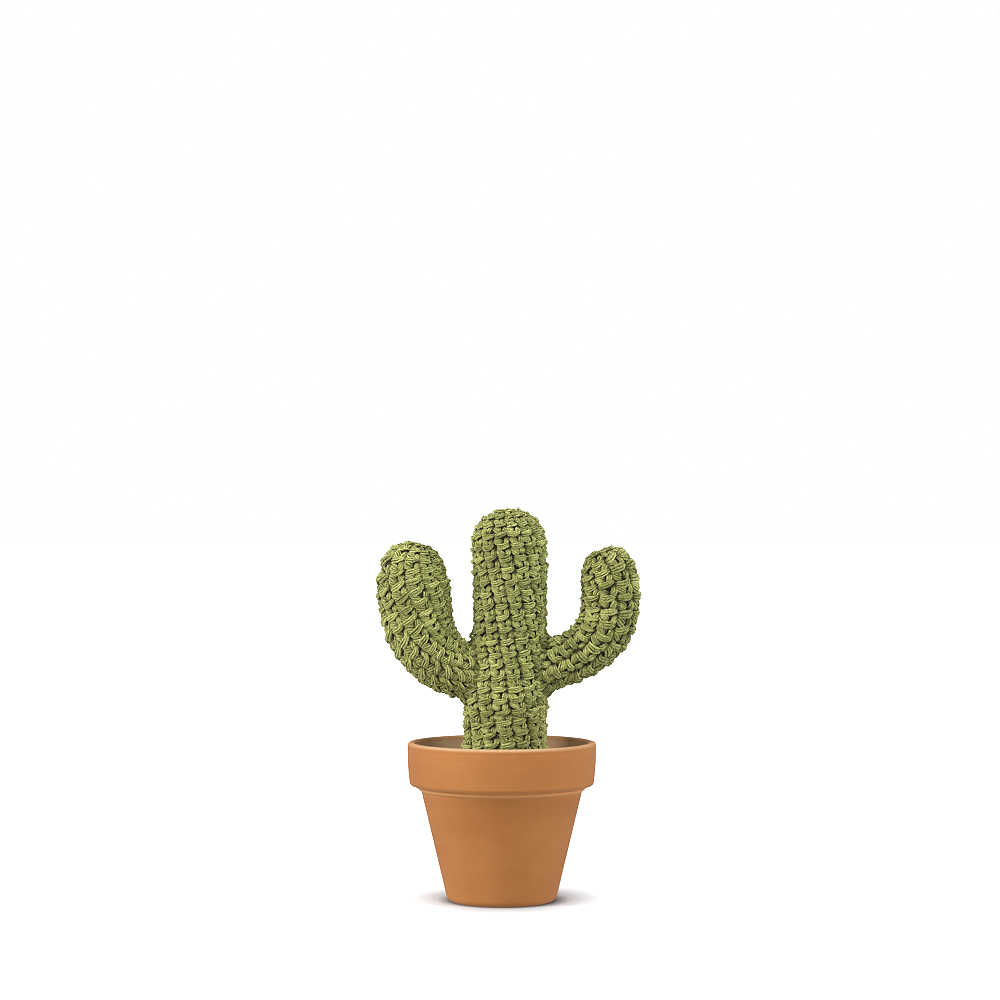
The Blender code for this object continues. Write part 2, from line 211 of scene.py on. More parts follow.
@dataclass(frozen=True)
class Finish:
    """What every finish shares: its name, its slot and its roughness."""

    name: str
    slot: Slot
    roughness: float

    def start(self) -> tuple[Material, Wiring, bpy.types.Node]:
        """Make an empty Principled material.

        Returns:
            The material, the wiring of its tree, and its shader.
        """
        material = bpy.data.materials.new(self.name)
        material.use_nodes = True
        shader = material.node_tree.nodes["Principled BSDF"]
        shader.inputs["Roughness"].default_value = self.roughness
        shader.inputs["Metallic"].default_value = 0.0
        shader.inputs["Specular IOR Level"].default_value = 0.25
        return material, Wiring(material.node_tree), shader

    @staticmethod
    def dress(
        wire: Wiring, shader: bpy.types.Node, colour: Socket, relief: Socket, bump: tuple[float, float]
    ) -> None:
        """Join the colour and the relief to the shader.

        Args:
            wire: the wiring of the material's tree.
            shader: its shader.
            colour: the surface's colour.
            relief: the height of its fine relief, from 0 to 1.
            bump: the bump's strength and depth.
        """
        feeds = {"Strength": bump[0], "Distance": bump[1], "Height": relief}
        wire.tree.links.new(colour, shader.inputs["Base Color"])
        wire.tree.links.new(wire.node("ShaderNodeBump", feeds).outputs[0], shader.inputs["Normal"])


@dataclass(frozen=True)
class YarnFinish(Finish):
    """Matt cotton yarn: streaks along the plies, painted shade in the grooves between plies, and more painted
    shade where the yarn lies deep in the gaps.
    """

    light: tuple = srgb(210, 214, 131)
    middle: tuple = srgb(170, 174, 97)
    dark: tuple = srgb(124, 126, 68)
    # The next two colours are painted shade: between the plies, and deep in the gaps.
    groove: tuple = srgb(66, 61, 34)
    pit: tuple = srgb(60, 54, 36)
    sheen: float = 1.7
    sheen_tint: tuple = srgb(232, 235, 160)
    turns_each_metre: float = 220.0
    streaks: tuple = (7.0, 170.0, 9.0)
    stops: tuple = (0.22, 0.46, 0.72)

    def make(self) -> Material:
        """Build the material.

        Returns:
            The material, with all its nodes.
        """
        material, wire, shader = self.start()
        place = wire.node("ShaderNodeTexCoord").outputs["Object"]
        marks = ("tone", "deep", "around", "run", "crest")
        tone, deep, around, run, crest = (wire.read(name) for name in marks)
        twisted = wire.maths("MULTIPLY_ADD", run, self.turns_each_metre, around)
        strand = wire.node("ShaderNodeCombineXYZ", {0: twisted, 1: run, 2: tone}).outputs[0]
        fibres = wire.noise(wire.stretched(strand, self.streaks), 1.0, 3.0, 0.6)
        mottle = wire.noise(place, 420.0, 3.0, 0.6)
        grain = wire.noise(place, 1500.0, 1.0, 0.5)
        share = wire.maths("MULTIPLY_ADD", mottle, 0.55, wire.maths("MULTIPLY", fibres, 0.65))
        share = wire.maths("MULTIPLY_ADD", grain, 0.95, share)
        share = wire.maths("ADD", share, wire.maths("MULTIPLY_ADD", tone, 0.5, -0.86))
        ramp = wire.node("ShaderNodeValToRGB", {0: share})
        stops = ramp.color_ramp.elements
        stops[0].position, stops[0].color = self.stops[0], self.dark
        stops[1].position, stops[1].color = self.stops[2], self.light
        stops.new(self.stops[1]).color = self.middle
        # Painted shade between plies, where a ply's surface looks away from its crest and its open side.
        colour = wire.blend(wire.remap(crest, 0.86, 0.40, 0.0, 0.75), ramp.outputs[0], self.groove)
        # Painted shade where the yarn lies deep below the fabric's surface.
        colour = wire.blend(wire.remap(deep, 1.1 * MM, 2.5 * MM), colour, self.pit)
        self.dress(wire, shader, colour, fibres, (0.6, 0.2 * MM))
        shader.inputs["Sheen Weight"].default_value = self.sheen
        shader.inputs["Sheen Roughness"].default_value = 0.4
        shader.inputs["Sheen Tint"].default_value = self.sheen_tint
        return material


@dataclass(frozen=True)
class FibreFinish(Finish):
    """Loose matted fibre, mottled with fine tangled hairs."""

    light: tuple = srgb(112, 101, 84)
    dark: tuple = srgb(50, 44, 33)

    def make(self) -> Material:
        """Build the material.

        Returns:
            The material, with all its nodes.
        """
        material, wire, shader = self.start()
        place = wire.node("ShaderNodeTexCoord").outputs["Object"]
        hairs = wire.noise(wire.stretched(place, (900.0, 900.0, 380.0)), 1.0, 4.0, 0.65)
        clumps = wire.noise(place, 190.0, 3.0, 0.5)
        tangle = wire.maths("MULTIPLY_ADD", hairs, 0.5, wire.maths("MULTIPLY", clumps, 0.5))
        colour = wire.blend(wire.remap(tangle, 0.35, 0.65), self.dark, self.light)
        self.dress(wire, shader, colour, hairs, (0.8, 0.5 * MM))
        return material


@dataclass(frozen=True)
class TerracottaFinish(Finish):
    """Fired clay: cloudy tone, fine specks, faint turning lines, a paler, greyer inside, a paler lip that is
    partly wear and partly painted highlight, and a painted highlight along the bead.
    """

    clay: tuple = srgb(193, 126, 67)
    cloud: tuple = srgb(184, 116, 59)
    inner: tuple = srgb(200, 160, 122)
    # Pale grains, and the lip's wear with its painted highlight.
    pale: tuple = srgb(205, 172, 130)
    speck: tuple = srgb(150, 96, 56)
    # A painted highlight for the bead under the collar.
    rubbed: tuple = srgb(238, 172, 106)

    def make(self) -> Material:
        """Build the material.

        Returns:
            The material, with all its nodes.
        """
        material, wire, shader = self.start()
        place = wire.node("ShaderNodeTexCoord").outputs["Object"]
        clouds = wire.noise(wire.stretched(place, (26.0, 26.0, 40.0)), 1.0, 4.0, 0.55)
        lines = wire.noise(wire.stretched(place, (9.0, 9.0, 900.0)), 1.0, 3.0, 0.6)
        grains = wire.noise(place, 1500.0, 3.0, 0.6)
        colour = wire.blend(wire.remap(clouds, 0.35, 0.68), self.clay, self.cloud)
        colour = wire.blend(wire.remap(lines, 0.58, 0.78, 0.0, 0.07), colour, self.speck)
        colour = wire.blend(wire.remap(grains, 0.60, 0.74, 0.0, 0.30), colour, self.speck)
        colour = wire.blend(wire.remap(grains, 0.40, 0.28, 0.0, 0.12), colour, self.pale)
        colour = wire.blend(wire.read("inside"), colour, self.inner)
        # The lip is paler: partly its wear, partly a painted highlight that is strongest at the front.
        colour = wire.blend(wire.maths("MULTIPLY", wire.read("worn"), 0.85), colour, self.pale)
        # Painted highlight along the bead, lifting the shade that the collar casts on it.
        colour = wire.blend(wire.read("ridge"), colour, self.rubbed)
        relief = wire.maths("MULTIPLY_ADD", lines, 0.4, wire.maths("MULTIPLY", grains, 0.6))
        self.dress(wire, shader, colour, relief, (0.3, 0.25 * MM))
        shader.inputs["Specular IOR Level"].default_value = 0.3
        shader.inputs["Sheen Weight"].default_value = 0.07
        shader.inputs["Sheen Roughness"].default_value = 0.5
        return material


@dataclass(frozen=True)
class FloorFinish(Finish):
    """White studio paper that glows more and more away from the pot, with a painted contact shadow round the
    pot's foot and painted shade in front of it, so that only a tight contact shadow shows on it.
    """

    tone: float = 0.80
    tint: tuple = (0.0, 0.03, 0.06)
    shadow: tuple = (0.02, 0.018, 0.015, 1.0)
    centre: tuple = (3.3 * MM, -2.0 * MM, 0.0)
    contact: float = 27.5 * MM
    near: float = 39.0 * MM
    middle: float = 61.0 * MM
    far: float = 500.0 * MM
    front_shade: float = 0.24
    near_glow: float = 0.42
    far_glow: float = 0.6

    def make(self) -> Material:
        """Build the material.

        Returns:
            The material, with all its nodes.
        """
        material, wire, shader = self.start()
        place = wire.node("ShaderNodeTexCoord").outputs["Object"]
        grain = wire.noise(place, 60.0, 2.0)
        papers = [(*(self.tone + step + tint for tint in self.tint), 1.0) for step in (0.0, 0.02)]
        colour = wire.blend(grain, *papers)
        away = wire.measure("LENGTH", wire.vector("ADD", place, self.centre))
        # Painted contact shadow round the pot's foot.
        colour = wire.blend(wire.remap(away, self.contact, self.near), self.shadow, colour)
        side, ahead = wire.node("ShaderNodeSeparateXYZ", {0: place}).outputs[:2]
        # Painted shade on the floor in front of the pot.
        front = wire.maths("MULTIPLY", wire.remap(ahead, -26.0 * MM, -36.0 * MM), self.front_shade)
        front = wire.maths("MULTIPLY", front, wire.remap(ahead, -45.0 * MM, -66.0 * MM, 1.0, 0.0))
        spread = wire.remap(wire.maths("ABSOLUTE", side), 18.0 * MM, 62.0 * MM, 1.0, 0.0)
        colour = wire.blend(wire.maths("MULTIPLY", front, spread), colour, self.shadow)
        # The paper glows away from the pot, as painted light.
        close = wire.remap(away, self.near, self.middle, 0.0, self.near_glow)
        glow = wire.maths("ADD", close, wire.remap(away, self.middle, self.far, 0.0, self.far_glow))
        wire.tree.links.new(colour, shader.inputs["Base Color"])
        wire.tree.links.new(glow, shader.inputs["Emission Strength"])
        shader.inputs["Emission Color"].default_value = (*WHITE, 1.0)
        return material


# Meshes


def link(name: str, mesh: Mesh) -> Thing:
    """Put a mesh in the scene as an object at the origin, and return the object."""
    thing = bpy.data.objects.new(name, mesh)
    bpy.context.scene.collection.objects.link(thing)
    return thing


def declare(thing: Thing, slot: Slot, *nodes: str) -> None:
    """Let a finished piece ride on the body and stand for its nodes, and report it.

    Args:
        thing: the finished piece.
        slot: the record's slot that its finish comes from; not used.
        nodes: the nodes of the frame that it stands for.
    """
    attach(thing, "root")
    if nodes:
        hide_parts(*nodes)
    thing.data.calc_loop_triangles()
    triangles = len(thing.data.loop_triangles)
    log.info("%s: %d triangles, stands for %s", thing.name, triangles, ", ".join(nodes) or "nothing")


def set_attribute(mesh: Mesh, name: str, kind: str, values: np.ndarray) -> None:
    """Store one value for each vertex of a mesh.

    Args:
        mesh: the mesh.
        name: the attribute's name.
        kind: FLOAT, INT or FLOAT_VECTOR.
        values: one value or one vector for each vertex.
    """
    layer = mesh.attributes.new(name, kind, "POINT")
    layer.data.foreach_set("vector" if kind == "FLOAT_VECTOR" else "value", np.ravel(values))


def bridge(body: bmesh.types.BMesh, rings: list, closed: bool = False) -> None:
    """Lay quads between neighbouring rings of vertices.

    Args:
        body: the mesh in the making.
        rings: the rings, each with as many vertices.
        closed: whether quads also join the last ring to the first.
    """
    for one, other in zip(rings, rings[1:] + (rings[:1] if closed else [])):
        for i in range(len(one)):
            j = (i + 1) % len(one)
            body.faces.new((one[i], one[j], other[j], other[i]))


def shell(body: bmesh.types.BMesh, name: str, material: Material) -> Mesh:
    """Finish a body in the making.

    Args:
        body: the body, which is used up.
        name: the mesh's name.
        material: its finish.

    Returns:
        A smooth mesh with its faces outward and its finish on.
    """
    bmesh.ops.recalc_face_normals(body, faces=body.faces)
    mesh = bpy.data.meshes.new(name)
    body.to_mesh(mesh)
    body.free()
    mesh.materials.append(material)
    mesh.shade_smooth()
    return mesh


def smooth_curve(given: np.ndarray, samples: np.ndarray) -> np.ndarray:
    """Run a smooth curve through points.

    Args:
        given: the points, one in a row, with any further values in later columns.
        samples: where the curve is read, from 0 at the first point to 1 at the last.

    Returns:
        One row for each sample.
    """
    chords = np.linalg.norm(np.diff(given[:, :2], axis=0), axis=1)
    stations = np.concatenate([[0.0], np.cumsum(chords)])
    slopes = np.gradient(given, stations, axis=0)
    reads = samples * stations[-1]
    index = np.clip(np.searchsorted(stations, reads, side="right") - 1, 0, len(stations) - 2)
    span = (stations[index + 1] - stations[index])[:, None]
    t = (reads - stations[index])[:, None] / span
    start, end = given[index], given[index + 1]
    leave, arrive = slopes[index] * span, slopes[index + 1] * span
    rise, fall = t**3 - 2.0 * t**2 + t, t**3 - t**2
    ease = 3.0 * t**2 - 2.0 * t**3
    return (1.0 - ease) * start + ease * end + rise * leave + fall * arrive


@dataclass
class LimbForm:
    """The outer form of a crocheted tube: a curved centreline in the plane Y = 0 and a dome at its tip.

    The line gives x, z and the outer radius in millimetres from the foot to the tip.
    """

    line: tuple[tuple[float, float, float], ...]
    dome: float = 2.2
    run_in: float = 40.0 * MM
    points: int = 400

    def __post_init__(self) -> None:
        """Trace the centreline and the outline."""
        given = np.array(self.line) * MM
        curve = smooth_curve(given, np.linspace(0.0, 1.0, self.points))
        chords = np.linalg.norm(np.diff(given[:, :2], axis=0), axis=1)
        lead = np.gradient(given, np.concatenate([[0.0], np.cumsum(chords)]), axis=0)[0]
        start = curve[0] - lead * self.run_in
        start[2] = curve[0][2]
        curve = np.vstack([start, curve])
        steps = np.linalg.norm(np.diff(curve[:, :2], axis=0), axis=1)
        self.curve = curve
        self.distance = np.concatenate([[0.0], np.cumsum(steps)]) - steps[0]
        heading = np.gradient(curve[:, :2], self.distance, axis=0)
        self.heading = heading / np.linalg.norm(heading, axis=1)[:, None]
        self._trace_outline(float(self.distance[-1]), float(curve[-1][2]))

    def _trace_outline(self, length: float, radius: float) -> None:
        """Find the distance along the axis and the radius, from the tip to the foot.

        Args:
            length: the centreline's length up to the tip.
            radius: the outer radius under the dome.
        """
        phase = np.linspace(0.0, math.pi / 2.0, 120)
        dome_axial = length - radius * (1.0 - np.cos(phase) ** (2.0 / self.dome))
        dome_radius = radius * np.sin(phase) ** (2.0 / self.dome)
        tube_axial = np.linspace(length - radius, -self.run_in, self.points)[1:]
        tube_radius = np.interp(tube_axial, self.distance, self.curve[:, 2])
        self.axial = np.concatenate([dome_axial, tube_axial])
        self.radius = np.concatenate([dome_radius, tube_radius])
        steps = np.hypot(np.diff(self.axial), np.diff(self.radius))
        self.along = np.concatenate([[0.0], np.cumsum(steps)])
        self.rise = np.gradient(self.radius, self.along)
        self.fall = -np.gradient(self.axial, self.along)

    def frame_at(self, along: np.ndarray, angle: np.ndarray) -> tuple[np.ndarray, np.ndarray]:
        """Find places on the outer surface.

        Args:
            along: distances from the tip along the surface.
            angle: angles round the centreline, 0 towards +X on an upright limb and -90 degrees at the front.

        Returns:
            The points and the outward directions there.
        """
        axial = np.interp(along, self.along, self.axial)
        reach = np.interp(along, self.along, self.radius)
        rise = np.interp(along, self.along, self.rise)
        fall = np.interp(along, self.along, self.fall)
        x, z = (np.interp(axial, self.distance, self.curve[:, i]) for i in range(2))
        to_x, to_z = (np.interp(axial, self.distance, self.heading[:, i]) for i in range(2))
        side, depth = np.cos(angle), np.sin(angle)
        point = np.stack([x + reach * side * to_z, reach * depth, z - reach * side * to_x], -1)
        out = [fall * side * to_z + rise * to_x, fall * depth, -fall * side * to_x + rise * to_z]
        return point, np.stack(out, -1)

    def at(self, along: float, angle: float, height: float = 0.0) -> np.ndarray:
        """Return one point at a height above the outer surface."""
        point, out = self.frame_at(np.array([along]), np.array([angle]))
        return point[0] + out[0] * height

    def depth_of(self, point: np.ndarray) -> float:
        """Return how deep a point lies inside this limb, where the limb stands nearly upright."""
        x = np.interp(point[2], self.curve[:, 1], self.curve[:, 0])
        radius = np.interp(point[2], self.curve[:, 1], self.curve[:, 2])
        return float(radius - math.hypot(point[0] - x, point[1]))


@dataclass
class GuideSheet:
    """A grid over a limb's outer surface, on which the crochet is laid by its UV map."""

    form: LimbForm
    length: float
    turns: float = 1.8
    columns: int = 192
    rows: int = 150

    def build(self, name: str) -> Thing:
        """Make the grid, with its UV map and the directions on it.

        Args:
            name: the grid's name.

        Returns:
            The grid's object, which isn't in the scene.
        """
        across = np.linspace(0.0, 1.0, self.columns + 1)
        down = np.linspace(0.0, 1.0, self.rows + 1)
        u, v = (grid.ravel() for grid in np.meshgrid(across, down))
        angle = FRONT + (u - 0.5) * self.turns * 2.0 * math.pi
        point, out = self.form.frame_at(v * self.length, angle)
        corners = np.arange(self.rows * (self.columns + 1)).reshape(self.rows, -1)[:, :-1].ravel()
        faces = np.stack([corners, corners + 1, corners + self.columns + 2, corners + self.columns + 1], 1)
        mesh = bpy.data.meshes.new(name)
        mesh.from_pydata(point.tolist(), [], faces.tolist())
        set_attribute(mesh, "outward", "FLOAT_VECTOR", out)
        ahead = self.form.frame_at(v * self.length, angle + 0.01)[0] - point
        ahead /= np.maximum(np.linalg.norm(ahead, axis=1), 1e-9)[:, None]
        set_attribute(mesh, "round", "FLOAT_VECTOR", ahead)
        places = np.stack([u, v], 1)[faces.ravel()]
        mesh.uv_layers.new(name="guide").data.foreach_set("uv", places.ravel())
        return bpy.data.objects.new(name, mesh)


# Node tools


class NodeTool:
    """A Geometry Nodes tree with named inputs, ending in Realize Instances and Set Material."""

    SPENT = (*STITCH_VALUES, "thick", "spine", "facing", "aside")

    def __init__(self, name: str, inputs: dict[str, str]) -> None:
        """Start the tree.

        Args:
            name: the tree's name.
            inputs: the socket type of each named input.
        """
        self.tree = bpy.data.node_groups.new(name, "GeometryNodeTree")
        self.wire = Wiring(self.tree)
        self.tree.interface.new_socket("Geometry", in_out="INPUT", socket_type="NodeSocketGeometry")
        for label, kind in {**inputs, "Finish": "NodeSocketMaterial"}.items():
            self.tree.interface.new_socket(label, in_out="INPUT", socket_type=kind)
        self.tree.interface.new_socket("Geometry", in_out="OUTPUT", socket_type="NodeSocketGeometry")
        self.given = self.wire.node("NodeGroupInput").outputs

    def attribute(self, name: str, kind: str = "FLOAT") -> Socket:
        """Return a named attribute of the geometry."""
        node = self.wire.node("GeometryNodeInputNamedAttribute", {"Name": name}, data_type=kind)
        return self.wire.socket(node.outputs, "Attribute")

    def store(self, geometry: Feed, name: str, value: Feed, kind: str = "FLOAT") -> Socket:
        """Return the geometry with a number or a vector stored on its points."""
        feeds = {"Geometry": geometry, "Name": name, "Value": value}
        node = self.wire.node("GeometryNodeStoreNamedAttribute", feeds, data_type=kind, domain="POINT")
        return node.outputs[0]

    def sweep(self, lines: Feed, radius: Feed, sides: Feed) -> Socket:
        """Lay a round ply along each line of edges.

        Args:
            lines: the geometry with the lines. Their attribute "thick" scales the ply, and "facing" is the
                direction that its crest looks in.
            radius: the ply's radius.
            sides: how many sides the ply has.

        Returns:
            The geometry of the plies.
        """
        wire = self.wire
        place = wire.node("GeometryNodeInputPosition").outputs[0]
        lines = self.store(lines, "spine", place, "FLOAT_VECTOR")
        curve = wire.node("GeometryNodeMeshToCurve", {"Mesh": lines}).outputs[0]
        curve = self.store(curve, "run", wire.node("GeometryNodeSplineParameter").outputs["Length"])
        ring = wire.node("GeometryNodeCurvePrimitiveCircle", {"Resolution": sides, "Radius": 1.0}).outputs[0]
        ring = self.store(ring, "around", wire.node("GeometryNodeSplineParameter").outputs["Factor"])
        scale = wire.maths("MULTIPLY", self.attribute("thick"), radius)
        feeds = {"Curve": curve, "Profile Curve": ring, "Scale": scale, "Fill Caps": True}
        plies = wire.node("GeometryNodeCurveToMesh", feeds).outputs[0]
        # The crest share says how far each point of a ply looks out; the yarn finish paints shade where it is
        # low.
        lifted = wire.vector("SUBTRACT", place, self.attribute("spine", "FLOAT_VECTOR"))
        lifted = wire.vector("NORMALIZE", lifted)
        shares = []
        for name in ("facing", "aside"):
            share = wire.measure("DOT_PRODUCT", lifted, self.attribute(name, "FLOAT_VECTOR"))
            shares.append(wire.maths("POWER", wire.maths("MAXIMUM", share, 0.0), 2.0))
        return self.store(plies, "crest", wire.maths("SQRT", wire.maths("ADD", *shares)))

    def finish(self, geometry: Feed) -> None:
        """End the tree: smooth faces, real geometry, and the finish.

        Args:
            geometry: the geometry to end with.
        """
        wire = self.wire
        smooth = wire.node("GeometryNodeSetShadeSmooth", {"Geometry": geometry}).outputs[0]
        real = wire.node("GeometryNodeRealizeInstances", {"Geometry": smooth}).outputs[0]
        feeds = {"Geometry": real, "Material": self.given["Finish"]}
        wire.node("NodeGroupOutput", {"Geometry": wire.node("GeometryNodeSetMaterial", feeds).outputs[0]})

    def run(self, name: str, source: Mesh, values: dict[str, object]) -> Thing:
        """Run the tree on a mesh.

        Args:
            name: the finished piece's name.
            source: the mesh that the tree starts from.
            values: the value of each named input.

        Returns:
            The piece, as a plain mesh in the scene.
        """
        carrier = link(name + "_source", source)
        modifier = carrier.modifiers.new("nodes", "NODES")
        modifier.node_group = self.tree
        for item in self.tree.interface.items_tree:
            if item.in_out == "INPUT" and item.name in values:
                modifier[item.identifier] = values[item.name]
        graph = bpy.context.evaluated_depsgraph_get()
        graph.update()
        result = bpy.data.meshes.new_from_object(carrier.evaluated_get(graph))
        carrier.modifiers.clear()
        bpy.data.objects.remove(carrier)
        result.name = name
        for layer in [one.name for one in result.attributes if one.name in self.SPENT]:
            result.attributes.remove(result.attributes[layer])
        return link(name, result)


class CrochetTool(NodeTool):
    """Lays the plies of every stitch of a limb over its guide sheet."""

    def __init__(self) -> None:
        """Build the tree."""
        inputs = {"Stitches": "NodeSocketCollection", "Sheet": "NodeSocketObject"}
        inputs["Ply Sides"] = "NodeSocketInt"
        for name in ("Sheet Length", "Sheet Turns", "Ply Radius", "Waver", "Seed"):
            inputs[name] = "NodeSocketFloat"
        super().__init__("crochet", inputs)
        plies = self._place_stitches()
        self.finish(self.sweep(self._wrap(plies), self.given["Ply Radius"], self.given["Ply Sides"]))

    def _place_stitches(self) -> Socket:
        """Put a stitch of the chosen kind on every point.

        Returns:
            The stitches as real lines, still flat.
        """
        wire, given = self.wire, self.given
        feeds = {"Collection": given["Stitches"], "Separate Children": True, "Reset Children": True}
        stitches = wire.node("GeometryNodeCollectionInfo", feeds).outputs[0]
        feeds = {
            "Points": given["Geometry"],
            "Instance": stitches,
            "Pick Instance": True,
            "Instance Index": self.attribute("kind", "INT"),
        }
        placed = wire.node("GeometryNodeInstanceOnPoints", feeds).outputs[0]
        return wire.node("GeometryNodeRealizeInstances", {"Geometry": placed}).outputs[0]

    def _wrap(self, plies: Socket) -> Socket:
        """Bend the flat stitches round the limb.

        Args:
            plies: the flat stitches.

        Returns:
            The plies where they lie, with what the sweep and the finish read.
        """
        wire, given = self.wire, self.given
        here = wire.node("GeometryNodeInputPosition").outputs[0]
        flat = wire.node("ShaderNodeSeparateXYZ", {0: here}).outputs
        wide = wire.maths("MULTIPLY", flat[0], self.attribute("wide"))
        drift = wire.maths("MULTIPLY", flat[1], self.attribute("shear"))
        shift = wire.maths("MULTIPLY", wire.maths("SUBTRACT", wide, drift), self.attribute("across"))
        turn = wire.maths("ADD", self.attribute("centre"), shift)
        drop = wire.maths("MULTIPLY", flat[1], self.attribute("down"))
        lean = wire.maths("MULTIPLY", flat[0], self.attribute("tilt"))
        along = wire.maths("ADD", wire.maths("SUBTRACT", self.attribute("level"), drop), lean)
        u = wire.maths("ADD", wire.maths("DIVIDE", turn, given["Sheet Turns"]), 0.5)
        v = wire.maths("DIVIDE", wire.maths("MAXIMUM", along, 0.05 * MM), given["Sheet Length"])
        place = wire.node("ShaderNodeCombineXYZ", {0: u, 1: v}).outputs[0]
        outer = self._read_sheet(here, place)
        outward = self._read_sheet(self.attribute("outward", "FLOAT_VECTOR"), place)
        laid = wire.vector("ADD", outer, wire.scaled(outward, flat[2]))
        feeds = {"Vector": laid, "W": given["Seed"], "Scale": 210.0, "Detail": 1.0}
        noise = wire.node("ShaderNodeTexNoise", feeds, noise_dimensions="4D").outputs["Color"]
        waver = wire.scaled(wire.vector("SUBTRACT", noise, (0.5, 0.5, 0.5)), given["Waver"])
        tone = wire.maths("ADD", self.attribute("tone"), self.attribute("stitch_tone"))
        plies = self.store(plies, "tone", wire.maths("MULTIPLY", tone, 0.5))
        plies = self.store(plies, "deep", wire.maths("MULTIPLY", flat[2], -1.0))
        thick = wire.maths("MULTIPLY", self.attribute("thick"), self.attribute("swell"))
        plies = self.store(plies, "thick", thick)
        plies = self.store(plies, "facing", outward, "FLOAT_VECTOR")
        flank = wire.node("ShaderNodeSeparateXYZ", {0: self.attribute("aside", "FLOAT_VECTOR")}).outputs
        way_round = self._read_sheet(self.attribute("round", "FLOAT_VECTOR"), place)
        way_up = wire.vector("CROSS_PRODUCT", outward, way_round)
        aside = wire.vector("ADD", wire.scaled(way_round, flank[0]), wire.scaled(way_up, flank[1]))
        plies = self.store(plies, "aside", aside, "FLOAT_VECTOR")
        feeds = {"Geometry": plies, "Position": laid, "Offset": waver}
        return wire.node("GeometryNodeSetPosition", feeds).outputs[0]

    def _read_sheet(self, value: Feed, place: Feed) -> Socket:
        """Read a vector off the guide sheet.

        Args:
            value: the vector to read at each of the sheet's points.
            place: the place on its UV map.

        Returns:
            The vector there.
        """
        sheet = self.wire.node("GeometryNodeObjectInfo", {"Object": self.given["Sheet"]})
        feeds = {
            "Mesh": self.wire.socket(sheet.outputs, "Geometry"),
            "Value": value,
            "UV Map": self.attribute("guide", "FLOAT_VECTOR"),
            "Sample UV": place,
        }
        node = self.wire.node("GeometryNodeSampleUVSurface", feeds, data_type="FLOAT_VECTOR")
        return self.wire.socket(node.outputs, "Value")


class StrandTool(NodeTool):
    """Lays round plies along free lines, for the sewing yarn and for loose fibres."""

    def __init__(self) -> None:
        """Build the tree."""
        super().__init__("strands", {"Ply Radius": "NodeSocketFloat", "Ply Sides": "NodeSocketInt"})
        self.finish(self.sweep(self.given["Geometry"], self.given["Ply Radius"], self.given["Ply Sides"]))


@dataclass
class Lines:
    """Lines of edges with the values that the node tools read along them."""

    points: list = field(default_factory=list)
    edges: list = field(default_factory=list)
    thick: list = field(default_factory=list)
    tone: list = field(default_factory=list)
    deep: list = field(default_factory=list)
    facing: list = field(default_factory=list)
    aside: list = field(default_factory=list)

    def add(
        self,
        path: np.ndarray,
        thick: np.ndarray,
        tone: float,
        deep: float = 0.0,
        facing: tuple = (0.0, 0.0, 1.0),
        aside: np.ndarray | None = None,
    ) -> None:
        """Add one line.

        Args:
            path: its points.
            thick: how thick the ply is at each point, as a share of its radius.
            tone: the ply's tone from 0 to 1.
            deep: how far it counts as lying below the surface; the yarn finish paints shade where it lies
                deep.
            facing: the direction that its crest looks in.
            aside: at each point, the direction of its open side, where no ply lies next to it.
        """
        first = len(self.points)
        self.points.extend(path.tolist())
        self.edges.extend((first + i, first + i + 1) for i in range(len(path) - 1))
        self.thick.extend(thick.tolist())
        self.tone.extend([tone] * len(path))
        self.deep.extend([deep] * len(path))
        self.facing.extend([tuple(facing)] * len(path))
        self.aside.extend(np.zeros((len(path), 3)).tolist() if aside is None else aside.tolist())

    def mesh(self, name: str) -> Mesh:
        """Turn the lines into a mesh.

        Args:
            name: the mesh's name.

        Returns:
            A mesh of edges, with the values at its points.
        """
        mesh = bpy.data.meshes.new(name)
        mesh.from_pydata(self.points, self.edges, [])
        for name in ("thick", "tone", "deep"):
            set_attribute(mesh, name, "FLOAT", np.array(getattr(self, name)))
        for name in ("facing", "aside"):
            set_attribute(mesh, name, "FLOAT_VECTOR", np.array(getattr(self, name)))
        return mesh


# Crochet


@dataclass(frozen=True)
class YarnRun:
    """One run of yarn in a stitch, laid out flat in millimetres.

    The path's x runs round the limb, y towards its tip and z outward. The half-widths go with the points, the
    depth is how far the outer plies fall away from the middle ones, and the twist turns them, in degrees.
    """

    plies: int
    path: tuple[tuple[float, float, float], ...]
    half_widths: tuple[float, ...]
    depth: float
    twist: float


YARN_RUNS = {
    Run.BAR: YarnRun(
        3,
        ((-4.7, 0.9, -3.4), (-4.0, 0.75, -1.4), (-2.0, 0.4, -0.35), (0.4, 0.3, -0.2), (2.6, 0.7, -0.45),
         (4.1, 1.5, -1.6), (5.0, 2.3, -3.8)),
        (0.9, 1.4, 1.7, 1.75, 1.5, 1.0, 0.4), 0.8, 70.0,
    ),
    Run.LOBE: YarnRun(
        4,
        ((-4.6, -0.5, -3.5), (-4.2, -1.2, -2.4), (-3.1, -2.1, -1.4), (-1.7, -3.1, -1.0), (-0.2, -4.2, -1.4),
         (0.8, -5.0, -3.4)),
        (1.0, 1.85, 2.3, 2.35, 2.0, 1.0), 1.0, 20.0,
    ),
    Run.LEG: YarnRun(
        3,
        ((4.3, -0.5, -3.5), (3.9, -1.4, -2.4), (3.4, -2.4, -1.4), (2.9, -3.5, -1.0), (2.3, -4.5, -1.4),
         (1.7, -5.2, -3.4)),
        (0.9, 1.45, 1.7, 1.7, 1.3, 0.8), 1.0, 20.0,
    ),
    Run.UNDER: YarnRun(
        2,
        ((3.9, -1.4, -3.5), (4.7, -2.9, -2.3), (5.6, -3.9, -2.4), (6.4, -4.6, -3.6)),
        (0.7, 1.1, 1.1, 0.7), 0.4, 25.0,
    ),
}


